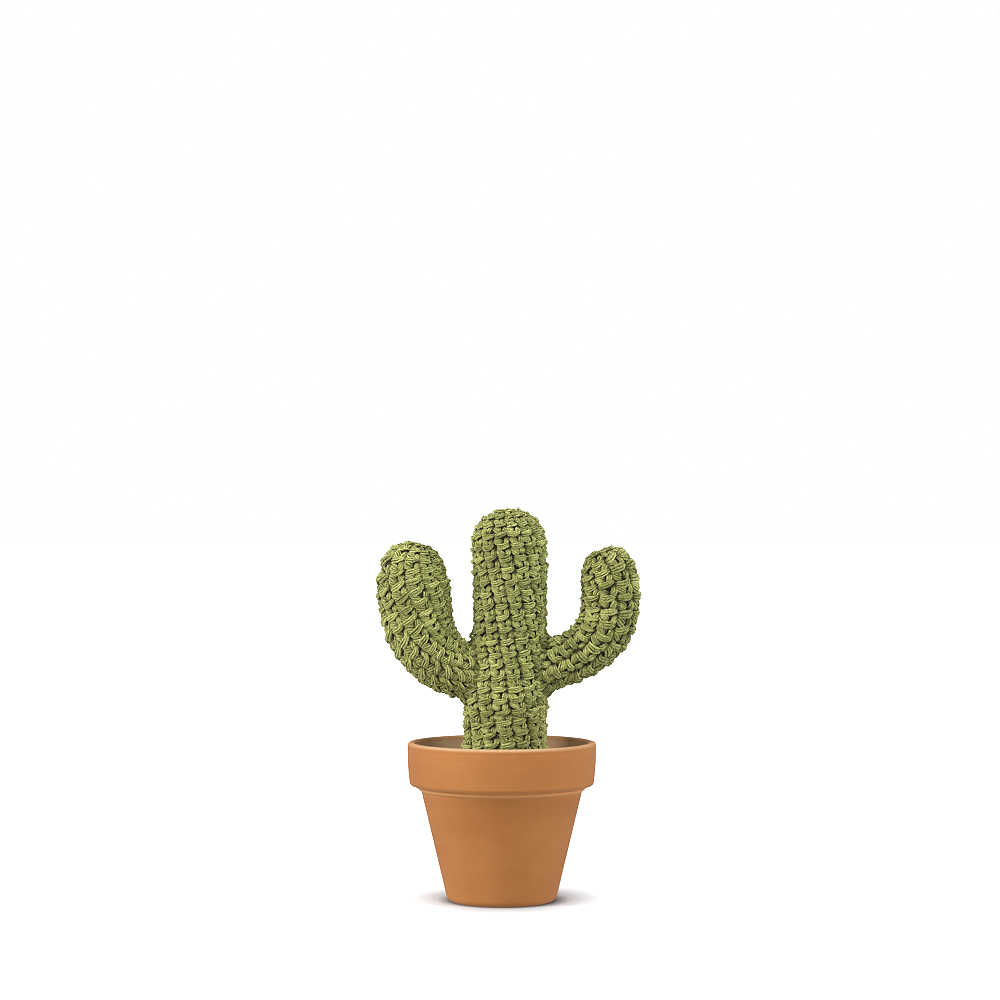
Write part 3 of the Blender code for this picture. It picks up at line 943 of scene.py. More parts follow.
@dataclass
class StitchPattern:
    """Varied copies of one stitch, as lines that the crochet tool lays on a limb."""

    name: str
    column: float
    seed: int
    runs: tuple[Run, ...] = (Run.BAR, Run.LOBE, Run.LEG)
    closing_runs: tuple[Run, ...] = (Run.LOBE, Run.LEG)
    variants: int = 12
    closing_variants: int = 3
    drawn_column: float = 9.63
    stations: int = 7
    fan: float = 84.0
    open_side: float = 0.9

    def build(self) -> bpy.types.Collection:
        """Make every variant, the full stitches first.

        Returns:
            Their collection, which isn't in the scene.
        """
        dice = random.Random(self.seed)
        collection = bpy.data.collections.new(self.name)
        for index in range(self.variants + self.closing_variants):
            runs = self.runs if index < self.variants else self.closing_runs
            lines = Lines()
            for run in runs:
                self._lay(lines, YARN_RUNS[run], dice)
            mesh = lines.mesh(f"{self.name}_{index:02d}")
            for layer in ("deep", "facing"):
                mesh.attributes.remove(mesh.attributes[layer])
            collection.objects.link(bpy.data.objects.new(mesh.name, mesh))
        return collection

    def _lay(self, lines: Lines, run: YarnRun, dice: random.Random) -> None:
        """Add the plies of one run, a little different every time.

        Args:
            lines: the stitch's lines.
            run: the run.
            dice: the pattern's dice.
        """
        stretch = self.column / self.drawn_column
        path = np.array(run.path)
        path[:, 0] *= stretch
        path += np.array([[dice.gauss(0.0, spread) for spread in (0.16, 0.16, 0.12)] for _ in path])
        path += np.array([dice.gauss(0.0, spread) for spread in (0.20, 0.18, 0.15)])
        share = np.linspace(0.0, 1.0, self.stations)
        centre = smooth_curve(path, share)
        ahead = np.gradient(centre[:, :2], axis=0)
        ahead /= np.linalg.norm(ahead, axis=1)[:, None]
        cross = np.stack([-ahead[:, 1], ahead[:, 0], np.zeros(self.stations)], 1)
        along = np.linspace(0.0, 1.0, len(run.half_widths))
        width = np.interp(share, along, run.half_widths) * stretch**0.25 * dice.uniform(0.93, 1.07)
        twist = math.radians(run.twist + dice.uniform(-20.0, 20.0))
        offset = dice.uniform(-0.25, 0.25)
        thick = np.interp(share, (0.0, 0.18, 0.82, 1.0), (0.6, 1.0, 1.0, 0.6))
        for ply in range(run.plies):
            start = math.radians(-self.fan + 2.0 * self.fan * (ply + 0.5 + offset) / run.plies)
            turn = start + twist * (share - 0.5)
            rise = run.depth * (np.cos(turn) - 0.6) + dice.gauss(0.0, 0.10)
            lift = np.stack([np.zeros(self.stations)] * 2 + [rise], 1)
            side = width * np.clip(turn / (0.5 * math.pi), -1.0, 1.0) + dice.gauss(0.0, 0.10)
            line = centre + cross * side[:, None] + lift
            aside = cross * self.open_side * float((ply == run.plies - 1) - (ply == 0))
            lines.add(line * MM, thick * dice.uniform(0.86, 1.12), dice.random(), aside=aside)


@dataclass
class Lattice:
    """Where the stitches of one limb lie, as measured in millimetres on the front of the unrolled limb.

    Args:
        stitches: the number of stitches in a full round.
        closing: the numbers in the rounds that close the tip.
        rounds: pairs of a round and its distance from the tip at the front.
        holes: pairs of a distance from the tip and the offset there, round the limb, of a column of holes.
        radius: the radius at which the offsets were measured.
        tilts: pairs of a distance from the tip and how much the rounds tilt there beyond their spiral.
    """

    stitches: int
    closing: tuple[int, ...]
    rounds: tuple[tuple[float, float], ...]
    holes: tuple[tuple[float, float], ...]
    radius: float
    tilts: tuple[tuple[float, float], ...]

    @staticmethod
    def read(table: tuple[tuple[float, float], ...], place: float) -> float:
        """Read a table, and carry its last slopes on past its ends.

        Args:
            table: pairs of a place and the value there.
            place: where to read.

        Returns:
            The value.
        """
        xs, ys = zip(*table)
        index = min(max(int(np.searchsorted(xs, place)) - 1, 0), len(xs) - 2)
        share = (place - xs[index]) / (xs[index + 1] - xs[index])
        return ys[index] + share * (ys[index + 1] - ys[index])

    def count(self, number: int) -> int:
        """Return how many stitches a round has."""
        return self.closing[number] if number < len(self.closing) else self.stitches

    def level(self, number: float, turn: float) -> float:
        """Find how far a round's holes lie from the tip.

        Args:
            number: the round, counted from the tip.
            turn: the turn from the front.

        Returns:
            The distance in millimetres.
        """
        base = self.read(self.rounds, number)
        pitch = self.read(self.rounds, number + 0.5) - self.read(self.rounds, number - 0.5)
        spiral = min(max(number * 0.5, 0.0), 1.0)
        tilt = float(np.interp(base, *zip(*self.tilts)))
        return base - spiral * pitch * turn + tilt * self.radius * math.sin(2.0 * math.pi * turn)

    def hole_turn(self, along: float) -> float:
        """Return the turn from the front of a column of holes at a distance from the tip."""
        return self.read(self.holes, along) / self.radius / (2.0 * math.pi)

    def drift(self, along: float) -> float:
        """Return how far a column runs round the limb for every millimetre down it."""
        return self.read(self.holes, along + 0.5) - self.read(self.holes, along - 0.5)


@dataclass
class CrochetedLimb:
    """One limb: its yarn, its filling, and the places of its stitches."""

    name: str
    form: LimbForm
    lattice: Lattice
    pattern: StitchPattern
    seed: int
    host: LimbForm | None = None
    floor: float = 70.0 * MM
    sink: float = 1.6 * MM
    filling_depth: float = 3.0 * MM
    ply_radius: float = 0.58 * MM
    ply_sides: int = 5
    waver: float = 0.45 * MM
    one_piece: int = 200

    def __post_init__(self) -> None:
        """Start this limb's own dice."""
        self.dice = random.Random(self.seed)

    def buried(self, along: float, turn: float) -> bool:
        """Tell whether a stitch lies out of sight, inside the trunk or under the packing.

        Args:
            along: its distance from the tip.
            turn: its turn from the front.

        Returns:
            True if it can't be seen.
        """
        point = self.form.at(along, FRONT + turn * 2.0 * math.pi, -1.0 * MM)
        if self.host is None:
            return point[2] < self.floor
        return self.host.depth_of(point) > self.sink

    def places(self) -> dict[str, list[float]]:
        """Work out every stitch of the limb.

        Returns:
            For each attribute that the crochet tool reads, one value for each stitch.
        """
        rows = {name: [] for name in STITCH_VALUES}
        number = 0
        while laid := self._round(number):
            for stitch in laid:
                for name, value in stitch.items():
                    rows[name].append(value)
            number += 1
        return rows

    def _round(self, number: int) -> list[dict[str, float]]:
        """Return the stitches of one round that can be seen.

        Args:
            number: the round, counted from the tip.

        Returns:
            For each stitch, the values that the crochet tool reads.
        """
        lattice, dice = self.lattice, self.dice
        count = lattice.count(number)
        middle = lattice.read(lattice.rounds, number) + STITCH_MIDDLE
        full, closing = self.pattern.variants, self.pattern.closing_variants
        first, choices = (full, closing) if number == 0 else (0, full)
        stitches = []
        for index in range(count):
            column = (index - 0.5) / count - float(index >= 0.5 * count)
            turn = lattice.hole_turn(middle) + column
            turn = lattice.hole_turn(lattice.level(number, turn) + STITCH_MIDDLE) + column
            level = lattice.level(number, turn)
            down = (lattice.level(number + 1, turn) - level) / FLAT_PITCH
            slope = (lattice.level(number, turn + 0.01) - lattice.level(number, turn - 0.01)) / 0.02
            across = 1.0 / (count * self.pattern.column)
            stitch = {
                "kind": first + dice.randrange(choices),
                "centre": turn + dice.gauss(0.0, 0.010) / count * 3.0,
                "level": max(level + dice.gauss(0.0, 0.22), 0.0) * MM,
                "across": across / MM,
                "shear": lattice.drift(middle) + dice.gauss(0.0, 0.07),
                "tilt": slope * across + dice.gauss(0.0, 0.05),
                "down": down * dice.uniform(0.96, 1.05),
                "wide": dice.uniform(0.95, 1.06),
                "swell": self._swell(level * MM, down * FLAT_PITCH * MM, turn, count),
                "stitch_tone": dice.random(),
            }
            if not self.buried((level + 2.5) * MM, turn):
                stitches.append(stitch)
        return stitches

    def _swell(self, along: float, pitch: float, turn: float, count: int) -> float:
        """Find how much thicker the plies lie where the limb's bend or girth spreads its stitches.

        Args:
            along: the stitch's distance from the tip.
            pitch: how far the next round lies from it.
            turn: its turn from the front.
            count: how many stitches its round has.

        Returns:
            The share by which the plies grow.
        """
        angle, reach = FRONT + turn * 2.0 * math.pi, math.pi / count
        low = np.linalg.norm(self.form.at(along + pitch, angle) - self.form.at(along, angle))
        wide = np.linalg.norm(self.form.at(along, angle + reach) - self.form.at(along, angle - reach))
        spread = low / (FLAT_PITCH * MM) * (wide / (FLAT_WIDTH * MM))
        return float(np.clip(math.sqrt(spread), 0.72, 1.3))

    def build_yarn(self, tool: CrochetTool, material: Material, *nodes: str) -> None:
        """Lay the stitches.

        Args:
            tool: the crochet tool.
            material: the yarn's finish.
            nodes: the nodes that the yarn stands for.
        """
        rows = self.places()
        length = max(rows["level"]) + 16.0 * MM
        sheet = GuideSheet(self.form, length)
        guide = sheet.build(self.name + "_guide")
        stitches = self.pattern.build()
        levels = np.array(rows["level"])
        upper = levels <= np.quantile(levels, 0.5)
        parts = {"_yarn": upper | True}
        if len(levels) > self.one_piece:
            parts = {"_upper_yarn": upper, "_lower_yarn": ~upper}
        inputs = {
            "Stitches": stitches,
            "Sheet": guide,
            "Sheet Length": length,
            "Sheet Turns": sheet.turns,
            "Ply Radius": self.ply_radius,
            "Ply Sides": self.ply_sides,
            "Waver": self.waver,
            "Seed": float(self.seed),
            "Finish": material,
        }
        for suffix, chosen in parts.items():
            mesh = bpy.data.meshes.new(self.name + "_stitches")
            mesh.from_pydata([(0.0, 0.0, 0.0)] * int(chosen.sum()), [], [])
            for name, values in rows.items():
                set_attribute(mesh, name, "INT" if name == "kind" else "FLOAT", np.array(values)[chosen])
            declare(tool.run(self.name + suffix, mesh, inputs), Slot.YARN, *nodes)
        bpy.data.objects.remove(guide)
        for template in list(stitches.objects):
            bpy.data.objects.remove(template)
        bpy.data.collections.remove(stitches)

    def build_filling(self, material: Material, foot: float, *nodes: str) -> None:
        """Fill the limb with fibre, bumpy where it presses between the stitches.

        Args:
            material: the fibre's finish.
            foot: the distance from the tip at which the filling ends.
            nodes: the nodes that it stands for.
        """
        across, down = 72, 110
        along = np.linspace(0.0, foot, down + 1)[1:]
        turn = np.arange(across) * 2.0 * math.pi / across
        v, angle = (grid.ravel() for grid in np.meshgrid(along, turn, indexing="ij"))
        point, out = self.form.frame_at(v, angle)
        waves = np.sin(angle * 19.0 + v * 900.0) * np.sin(v * 1700.0 + angle * 7.0)
        point += out * (-self.filling_depth + 0.25 * MM * waves)[:, None]
        body = bmesh.new()
        rings = [[body.verts.new(p) for p in ring] for ring in point.reshape(down, across, 3)]
        bridge(body, rings)
        tip = body.verts.new(self.form.at(0.0, 0.0, -self.filling_depth))
        end = body.verts.new(np.mean([v.co for v in rings[-1]], axis=0))
        for i in range(across):
            body.faces.new((rings[0][i], rings[0][(i + 1) % across], tip))
            body.faces.new((rings[-1][i], end, rings[-1][(i + 1) % across]))
        piece = link(self.name + "_filling", shell(body, self.name + "_filling", material))
        declare(piece, Slot.STUFFING, *nodes)


@dataclass
class ArmSewing:
    """Whip stitches that sew an arm to the trunk, and the end of the yarn, tucked in beside them."""

    name: str
    arm: LimbForm
    trunk: LimbForm
    seed: int
    whips: int = 26
    plies: int = 4
    bite: float = 1.9 * MM
    yarn_radius: float = 1.0 * MM
    ply_radius: float = 0.5 * MM
    ply_sides: int = 5
    depth: float = 0.9 * MM
    tail: tuple[tuple[float, float, float], ...] = ()

    def meeting(self, angle: float) -> float:
        """Find where the arm's surface meets the trunk's.

        Args:
            angle: the angle round the arm.

        Returns:
            The distance from the arm's tip.
        """
        near, far = 0.45 * float(self.arm.distance[-1]), float(self.arm.along[-1])
        for _ in range(36):
            middle = 0.5 * (near + far)
            if self.trunk.depth_of(self.arm.at(middle, angle)) < 0.0:
                near = middle
            else:
                far = middle
        return 0.5 * (near + far)

    def on_trunk(self, point: np.ndarray, height: float) -> np.ndarray:
        """Move a point straight out from the trunk's axis.

        Args:
            point: the point.
            height: how high over the trunk's surface it goes.

        Returns:
            The new point.
        """
        trunk = self.trunk
        x = np.interp(point[2], trunk.curve[:, 1], trunk.curve[:, 0])
        radius = np.interp(point[2], trunk.curve[:, 1], trunk.curve[:, 2])
        out = np.array([point[0] - x, point[1], 0.0])
        out /= np.linalg.norm(out)
        return np.array([x, 0.0, point[2]]) + out * (radius + height)

    def path(self, angle: float, dice: random.Random) -> np.ndarray:
        """Lead one whip from the arm's fabric over the joint into the trunk's.

        Args:
            angle: its angle round the arm.
            dice: the sewing's dice.

        Returns:
            Its middle line.
        """
        lead = dice.uniform(-0.10, 0.16)
        bite = self.bite * dice.uniform(0.8, 1.2)
        meet = self.meeting(angle)
        joint = self.arm.at(meet, angle)
        point, out = self.arm.frame_at(np.array([meet]), np.array([angle]))
        trunk_out = self.on_trunk(joint, 1.0) - self.on_trunk(joint, 0.0)
        away = out[0] - trunk_out * float(out[0] @ trunk_out)
        away /= np.linalg.norm(away)
        both = out[0] + trunk_out
        both /= np.linalg.norm(both)
        return np.array([
            self.arm.at(self.meeting(angle - lead) - bite * 1.25, angle - lead, -2.4 * MM),
            self.arm.at(self.meeting(angle - lead) - bite, angle - lead, -0.4 * MM),
            joint + both * 0.7 * MM - trunk_out * 0.2 * MM,
            self.on_trunk(joint + away * bite, -0.4 * MM),
            self.on_trunk(joint + away * bite * 1.3, -2.6 * MM),
        ])

    def build(self, tool: StrandTool, material: Material, *nodes: str) -> None:
        """Sew the arm on.

        Args:
            tool: the strand tool.
            material: the sewing yarn's finish.
            nodes: the nodes that the sewing stands for.
        """
        dice = random.Random(self.seed)
        lines = Lines()
        for index in range(self.whips):
            angle = 2.0 * math.pi * (index + dice.uniform(-0.25, 0.25)) / self.whips
            self._lay(lines, self.path(angle, dice), dice)
        self._lay(lines, np.array(self.tail) * MM, dice)
        inputs = {"Ply Radius": self.ply_radius, "Ply Sides": self.ply_sides, "Finish": material}
        declare(tool.run(self.name, lines.mesh(self.name), inputs), Slot.SEWING, *nodes)

    def _lay(self, lines: Lines, path: np.ndarray, dice: random.Random) -> None:
        """Add the twisted plies of one whip.

        Args:
            lines: the sewing's lines.
            path: the whip's middle line.
            dice: the sewing's dice.
        """
        share = np.linspace(0.0, 1.0, 8)
        stations = np.linspace(0.0, 1.0, len(path))
        centre = np.stack([np.interp(share, stations, path[:, i]) for i in range(3)], 1)
        centre[1:-1] = 0.5 * centre[1:-1] + 0.25 * (centre[:-2] + centre[2:])
        ahead = np.gradient(centre, axis=0)
        ahead /= np.linalg.norm(ahead, axis=1)[:, None]
        side = np.cross(ahead, np.array([0.31, 0.52, 0.79]))
        side /= np.linalg.norm(side, axis=1)[:, None]
        up = np.cross(side, ahead)
        facing = centre[len(centre) // 2] - 0.5 * (centre[0] + centre[-1])
        facing /= np.linalg.norm(facing)
        for ply in range(self.plies):
            turn = 2.0 * math.pi * ply / self.plies + share * 3.2
            offset = side * np.cos(turn)[:, None] + up * np.sin(turn)[:, None]
            line = centre + offset * (self.yarn_radius - 0.35 * MM)
            thick = np.interp(share, (0.0, 0.1, 0.9, 1.0), (0.6, 1.0, 1.0, 0.6))
            lines.add(line, thick, dice.random(), self.depth, facing)


# Pot


def arc(centre: tuple[float, float], radius: float, start: float, end: float, count: int) -> list:
    """Trace an arc of a turned outline.

    Args:
        centre: the arc's centre, as a (radius, height) pair.
        radius: the arc's own radius.
        start: the first angle in degrees.
        end: the last angle in degrees.
        count: the number of points.

    Returns:
        The points, as (radius, height) pairs.
    """
    angles = np.radians(np.linspace(start, end, count))
    return [(centre[0] + radius * math.cos(a), centre[1] + radius * math.sin(a)) for a in angles]


@dataclass
class Pot:
    """The terracotta pot, turned from one closed outline."""

    axis_x: float = -4.5 * MM
    height: float = 92.3 * MM
    rim_radius: float = 54.9 * MM
    collar_height: float = 25.3 * MM
    collar_foot_radius: float = 53.8 * MM
    collar_corner: float = 2.6 * MM
    collar_swell: float = 0.35 * MM
    body_top_radius: float = 47.6 * MM
    base_radius: float = 31.5 * MM
    base_corner: float = 4.2 * MM
    bead_height: float = 3.4 * MM
    bead_depth: float = 1.6 * MM
    lip_thickness: float = 4.6 * MM
    lip_corner: float = 1.7 * MM
    inner_lean: float = 0.9 * MM
    body_wall: float = 4.2 * MM
    ledge_height: float = 7.0 * MM
    floor_thickness: float = 6.0 * MM
    floor_corner: float = 4.0 * MM
    drain_radius: float = 6.0 * MM
    turning_lines: tuple[float, ...] = (89.0 * MM, 85.2 * MM)
    line_depth: float = 0.06 * MM
    line_width: float = 0.35 * MM
    segments: int = 160

    def body_radius(self, z: float) -> float:
        """Return the outer radius of the tapering body at a height."""
        share = z / (self.height - self.collar_height)
        return self.base_radius + (self.body_top_radius - self.base_radius) * share

    def inner_wall(self) -> list[tuple[float, float]]:
        """Trace the inside from the ledge down to the floor.

        Returns:
            (radius, height) pairs.
        """
        foot = self.height - self.collar_height
        inner = self.rim_radius - self.lip_thickness - self.inner_lean
        corner = (self.body_radius(self.floor_thickness) - self.body_wall - self.floor_corner,
                  self.floor_thickness + self.floor_corner)
        ledge = [(inner, foot + self.ledge_height), (self.body_top_radius - self.body_wall, foot)]
        return ledge + arc(corner, self.floor_corner, 0.0, -90.0, 6)

    def collar_side(self) -> list[tuple[float, float]]:
        """Trace the collar's outer side from its foot to the lip, with its two turning lines.

        Returns:
            (radius, height) pairs.
        """
        foot = self.height - self.collar_height + self.collar_corner
        top = self.height - self.lip_corner
        points = []
        for z in np.linspace(foot + 0.5 * MM, top - 0.5 * MM, 56):
            share = (z - foot) / (top - foot)
            radius = self.collar_foot_radius + (self.rim_radius - self.collar_foot_radius) * share
            radius += self.collar_swell * math.sin(math.pi * share)
            for line in self.turning_lines:
                radius -= self.line_depth * math.exp(-(((z - line) / self.line_width) ** 2))
            points.append((radius, float(z)))
        return points

    def outline(self) -> list[tuple[float, float]]:
        """Trace the whole outline, from the drain hole outward, with the inside last.

        Returns:
            (radius, height) pairs of a closed line.
        """
        collar_foot = self.height - self.collar_height
        bead_foot = collar_foot - self.bead_height
        inner_lip = self.rim_radius - self.lip_thickness
        points = [(self.drain_radius, 0.0), (self.drain_radius + 1.0 * MM, 0.0)]
        lean = math.atan((self.body_top_radius - self.base_radius) / collar_foot)
        joint = self.base_corner * (1.0 - math.sin(lean))
        corner = (self.body_radius(joint) - self.base_corner * math.cos(lean), self.base_corner)
        points += arc(corner, self.base_corner, -90.0, -math.degrees(lean), 8)
        body = np.linspace(joint + 0.6 * MM, bead_foot - 0.3 * MM, 24)
        points += [(self.body_radius(float(z)), float(z)) for z in body]
        for share in np.linspace(0.0, 1.0, 9):
            z = bead_foot + self.bead_height * float(share)
            swell = self.bead_depth * math.sin(math.pi * min(float(share), 0.8) / 1.1) ** 1.5
            points.append((self.body_radius(z) + swell, z))
        corner = (self.collar_foot_radius - self.collar_corner, collar_foot + self.collar_corner)
        points += arc(corner, self.collar_corner, -82.0, 0.0, 9)
        points += self.collar_side()
        lip = self.height - self.lip_corner
        points += arc((self.rim_radius - self.lip_corner, lip), self.lip_corner, 0.0, 90.0, 9)
        points += arc((inner_lip + self.lip_corner, lip), self.lip_corner, 90.0, 180.0, 9)
        points.append((inner_lip - 0.02 * MM, lip - 0.9 * MM))
        return points + self.inner_wall() + [(self.drain_radius, self.floor_thickness)]

    def build(self, material: Material) -> None:
        """Turn the pot and put it in the scene.

        Args:
            material: the clay's finish.
        """
        body = bmesh.new()
        outline = self.outline()
        angles = np.arange(self.segments) * 2.0 * math.pi / self.segments
        rings = [
            [body.verts.new((self.axis_x + radius * math.cos(a), radius * math.sin(a), z)) for a in angles]
            for radius, z in outline
        ]
        bridge(body, rings, closed=True)
        mesh = shell(body, "pot_turned", material)
        self._mark(mesh, np.array(outline), angles)
        mesh.set_sharp_from_angle(angle=math.radians(42.0))
        declare(link("pot_turned", mesh), Slot.TERRACOTTA, "pot")

    def _mark(self, mesh: Mesh, outline: np.ndarray, angles: np.ndarray) -> None:
        """Mark the inside, the lip's wear and painted highlight, and the painted highlight on the bead, for
        the finish to read.

        Args:
            mesh: the turned pot.
            outline: its outline, one (radius, height) pair in a row.
            angles: the angles of its segments.
        """
        hidden = len(self.inner_wall()) + 2
        inside = np.repeat([0.0] * (len(outline) - hidden) + [1.0] * hidden, self.segments)
        set_attribute(mesh, "inside", "FLOAT", inside)
        radius, z = (np.repeat(side, self.segments) for side in outline.T)
        high = np.clip((z - self.height + 1.8 * MM) / (1.2 * MM), 0.0, 1.0)
        outer = np.clip((radius - self.rim_radius + 2.6 * MM) / (0.9 * MM), 0.2, 1.0)
        turn = np.tile(angles, len(outline))
        # The lip's pale colour is strongest at the front, as a painted highlight on top of its wear.
        front = np.clip(1.35 * np.cos(turn - math.radians(260.0)) - 0.2, 0.45, 1.0)
        below = (self.height - self.collar_height - z) / MM
        # A painted highlight on the bead just under the collar.
        ridge = np.where(radius > 45.0 * MM, np.clip(1.2 - 0.45 * np.abs(below - 1.3), 0.0, 1.0), 0.0)
        # The top of the back rim is painted paler too, lifting its shade.
        back = np.clip((z - self.height + 2.6 * MM) / MM, 0.0, 0.5) * np.clip(2.5 * np.sin(turn), 0.0, 1.0)
        set_attribute(mesh, "worn", "FLOAT", np.maximum(high * outer * front, back))
        set_attribute(mesh, "ridge", "FLOAT", ridge)


@dataclass
class Packing:
    """Wadding that holds the trunk upright in the pot, with loose fibres on top."""

    pot: Pot
    trunk: LimbForm
    top: float = 75.0 * MM
    gap: float = 0.3 * MM
    inner: float = 21.5 * MM
    segments: int = 96
    fibres: int = 900
    fibre_points: int = 6
    fibre_radius: float = 0.13 * MM
    seed: int = 41

    def surface(self, x: float, y: float) -> float:
        """Return the height of the lumpy top at a place."""
        lumps = math.sin(x * 310.0 + 1.3) * math.sin(y * 270.0) + 0.6 * math.sin(x * 640.0 + y * 520.0)
        return self.top + 0.8 * MM * lumps

    def build(self, tool: StrandTool, material: Material) -> None:
        """Fill the pot.

        Args:
            tool: the strand tool.
            material: the wadding's finish.
        """
        angles = np.arange(self.segments) * 2.0 * math.pi / self.segments
        wall = [(r - self.gap, z) for r, z in self.pot.inner_wall()]
        outer = wall[0][0] + 0.25 * MM
        trunk_x = float(np.interp(self.top, self.trunk.curve[:, 1], self.trunk.curve[:, 0]))
        body = bmesh.new()

        def ring(radius: float, z: float, centre: float) -> list:
            """Add a level ring of vertices."""
            return [body.verts.new((centre + radius * math.cos(a), radius * math.sin(a), z)) for a in angles]

        floor = self.pot.floor_thickness + self.gap
        rings = [ring(r, max(z, floor), self.pot.axis_x) for r, z in reversed(wall)]
        for share in np.linspace(0.0, 1.0, 16):
            centre = self.pot.axis_x + (trunk_x - self.pot.axis_x) * share
            top = ring(outer + (self.inner - outer) * float(share), self.top, centre)
            for vertex in top:
                vertex.co.z = self.surface(vertex.co.x, vertex.co.y) + 1.5 * MM * float(share) ** 2
            rings.append(top)
        bridge(body, rings)
        body.faces.new(rings[0])
        body.faces.new(rings[-1])
        piece = link("packing_wadding", shell(body, "packing_wadding", material))
        declare(piece, Slot.PACKING, "pot_packing")
        self._scatter(tool, material, outer)

    def _scatter(self, tool: StrandTool, material: Material, outer: float) -> None:
        """Lay loose curled fibres over the top.

        Args:
            tool: the strand tool.
            material: the fibres' finish.
            outer: how far out from the pot's axis they reach.
        """
        dice = random.Random(self.seed)
        lines = Lines()
        while len(lines.tone) < self.fibres * self.fibre_points:
            angle, radius = dice.uniform(0.0, 2.0 * math.pi), dice.uniform(self.inner, outer - 1.0 * MM)
            heading, bend = dice.uniform(0.0, 2.0 * math.pi), dice.uniform(-1.6, 1.6)
            x, y = self.pot.axis_x + radius * math.cos(angle), radius * math.sin(angle)
            step = dice.uniform(0.8, 1.8) * MM
            path = []
            for index in range(self.fibre_points):
                lift = 0.9 * MM * math.sin(math.pi * index / 5.0) * dice.uniform(0.2, 1.0)
                path.append((x, y, self.surface(x, y) + lift - 0.1 * MM))
                x += step * math.cos(heading + bend * index * 0.3)
                y += step * math.sin(heading + bend * index * 0.3)
            if math.hypot(x - self.pot.axis_x, y) < outer - 0.5 * MM:
                lines.add(np.array(path), np.array([0.5, 1.0, 1.0, 1.0, 1.0, 0.5]), dice.random())
        inputs = {"Ply Radius": self.fibre_radius, "Ply Sides": 3, "Finish": material}
        declare(tool.run("packing_fibres", lines.mesh("packing_fibres"), inputs), Slot.PACKING)


# Studio


@dataclass
class Studio:
    """A white floor, soft light and the camera of the photograph."""

    camera_place: tuple[float, float, float] = (-5.53 * MM, -1650.0 * MM, 232.97 * MM)
    view_angle: float = 20.0
    floor_size: float = 14.0
    ambient: float = 0.45
    aim: tuple[float, float, float] = (0.0, 0.0, 0.12)
    crispness: float = 0.2
    picture_gamma: float = 2.2
    lights: tuple = (
        ("left_softbox", (-1.9, -0.7, 0.9), 0.9, 34.0, WHITE),
        ("right_softbox", (1.9, -0.45, 0.8), 0.9, 20.5, (0.90, 0.96, 1.0)),
        ("top_softbox", (0.0, -1.0, 1.8), 1.1, 18.5, WHITE),
        ("front_softbox", (0.2, -2.3, 0.3), 1.0, 5.0, WHITE),
    )

    def build(self) -> None:
        """Set up the floor, the lights, the world and the camera."""
        self._lay_floor()
        for light in self.lights:
            self._light(*light)
        world = bpy.data.worlds.new("white_room")
        world.use_nodes = True
        wire = Wiring(world.node_tree)
        seen = wire.node("ShaderNodeLightPath").outputs["Is Camera Ray"]
        backdrop = world.node_tree.nodes["Background"]
        backdrop.inputs["Color"].default_value = (*WHITE, 1.0)
        strength = wire.maths("MULTIPLY_ADD", seen, 1.0 - self.ambient, self.ambient)
        world.node_tree.links.new(strength, backdrop.inputs["Strength"])
        bpy.context.scene.world = world
        self._place_camera()
        bpy.context.scene.view_settings.view_transform = "Standard"
        bpy.context.scene.view_settings.look = "None"
        self._sharpen()

    def _sharpen(self) -> None:
        """Give the picture the crispness of a studio photograph."""
        scene = bpy.context.scene
        scene.use_nodes = True
        wire = Wiring(scene.node_tree)
        scene.node_tree.nodes.clear()
        picture = wire.node("CompositorNodeRLayers").outputs["Image"]
        feeds = {"Image": picture, "Gamma": 1.0 / self.picture_gamma}
        shown = wire.node("CompositorNodeGamma", feeds).outputs[0]
        feeds = {"Fac": self.crispness, "Image": shown}
        crisp = wire.node("CompositorNodeFilter", feeds, filter_type="SHARPEN_DIAMOND").outputs[0]
        light = wire.node("CompositorNodeGamma", {"Image": crisp, "Gamma": self.picture_gamma}).outputs[0]
        wire.node("CompositorNodeComposite", {"Image": light})

    def _lay_floor(self) -> None:
        """Lay a round sheet of studio paper under the pot."""
        body = bmesh.new()
        bmesh.ops.create_circle(body, cap_ends=True, segments=96, radius=self.floor_size)
        mesh = bpy.data.meshes.new("studio_floor")
        body.to_mesh(mesh)
        body.free()
        mesh.materials.append(FloorFinish("studio_paper", Slot.PACKING, 0.9).make())
        floor = link("studio_floor", mesh)
        floor.visible_diffuse = False
        floor.visible_glossy = False

    def _light(self, name: str, place: tuple, size: float, power: float, colour: tuple) -> None:
        """Hang a soft box that faces the object.

        Args:
            name: the light's name.
            place: where it hangs.
            size: the length of its side.
            power: its power in watts.
            colour: the colour of its light.
        """
        data = bpy.data.lights.new(name, "AREA")
        data.shape = "SQUARE"
        data.size = size
        data.energy = power
        data.color = colour
        lamp = bpy.data.objects.new(name, data)
        bpy.context.scene.collection.objects.link(lamp)
        lamp.location = place
        away = lamp.location.copy()
        away[:] = [here - there for here, there in zip(place, self.aim)]
        lamp.rotation_euler = away.to_track_quat("Z", "Y").to_euler()

    def _place_camera(self) -> None:
        """Stand the camera level in front of the pot."""
        data = bpy.data.cameras.new("camera")
        data.sensor_width = 36.0
        data.lens = 18.0 / math.tan(math.radians(self.view_angle / 2.0))
        data.clip_end = 60.0
        camera = bpy.data.objects.new("camera", data)
        camera.location = self.camera_place
        camera.rotation_euler = (math.radians(90.0), 0.0, 0.0)
        bpy.context.scene.collection.objects.link(camera)
        bpy.context.scene.camera = camera


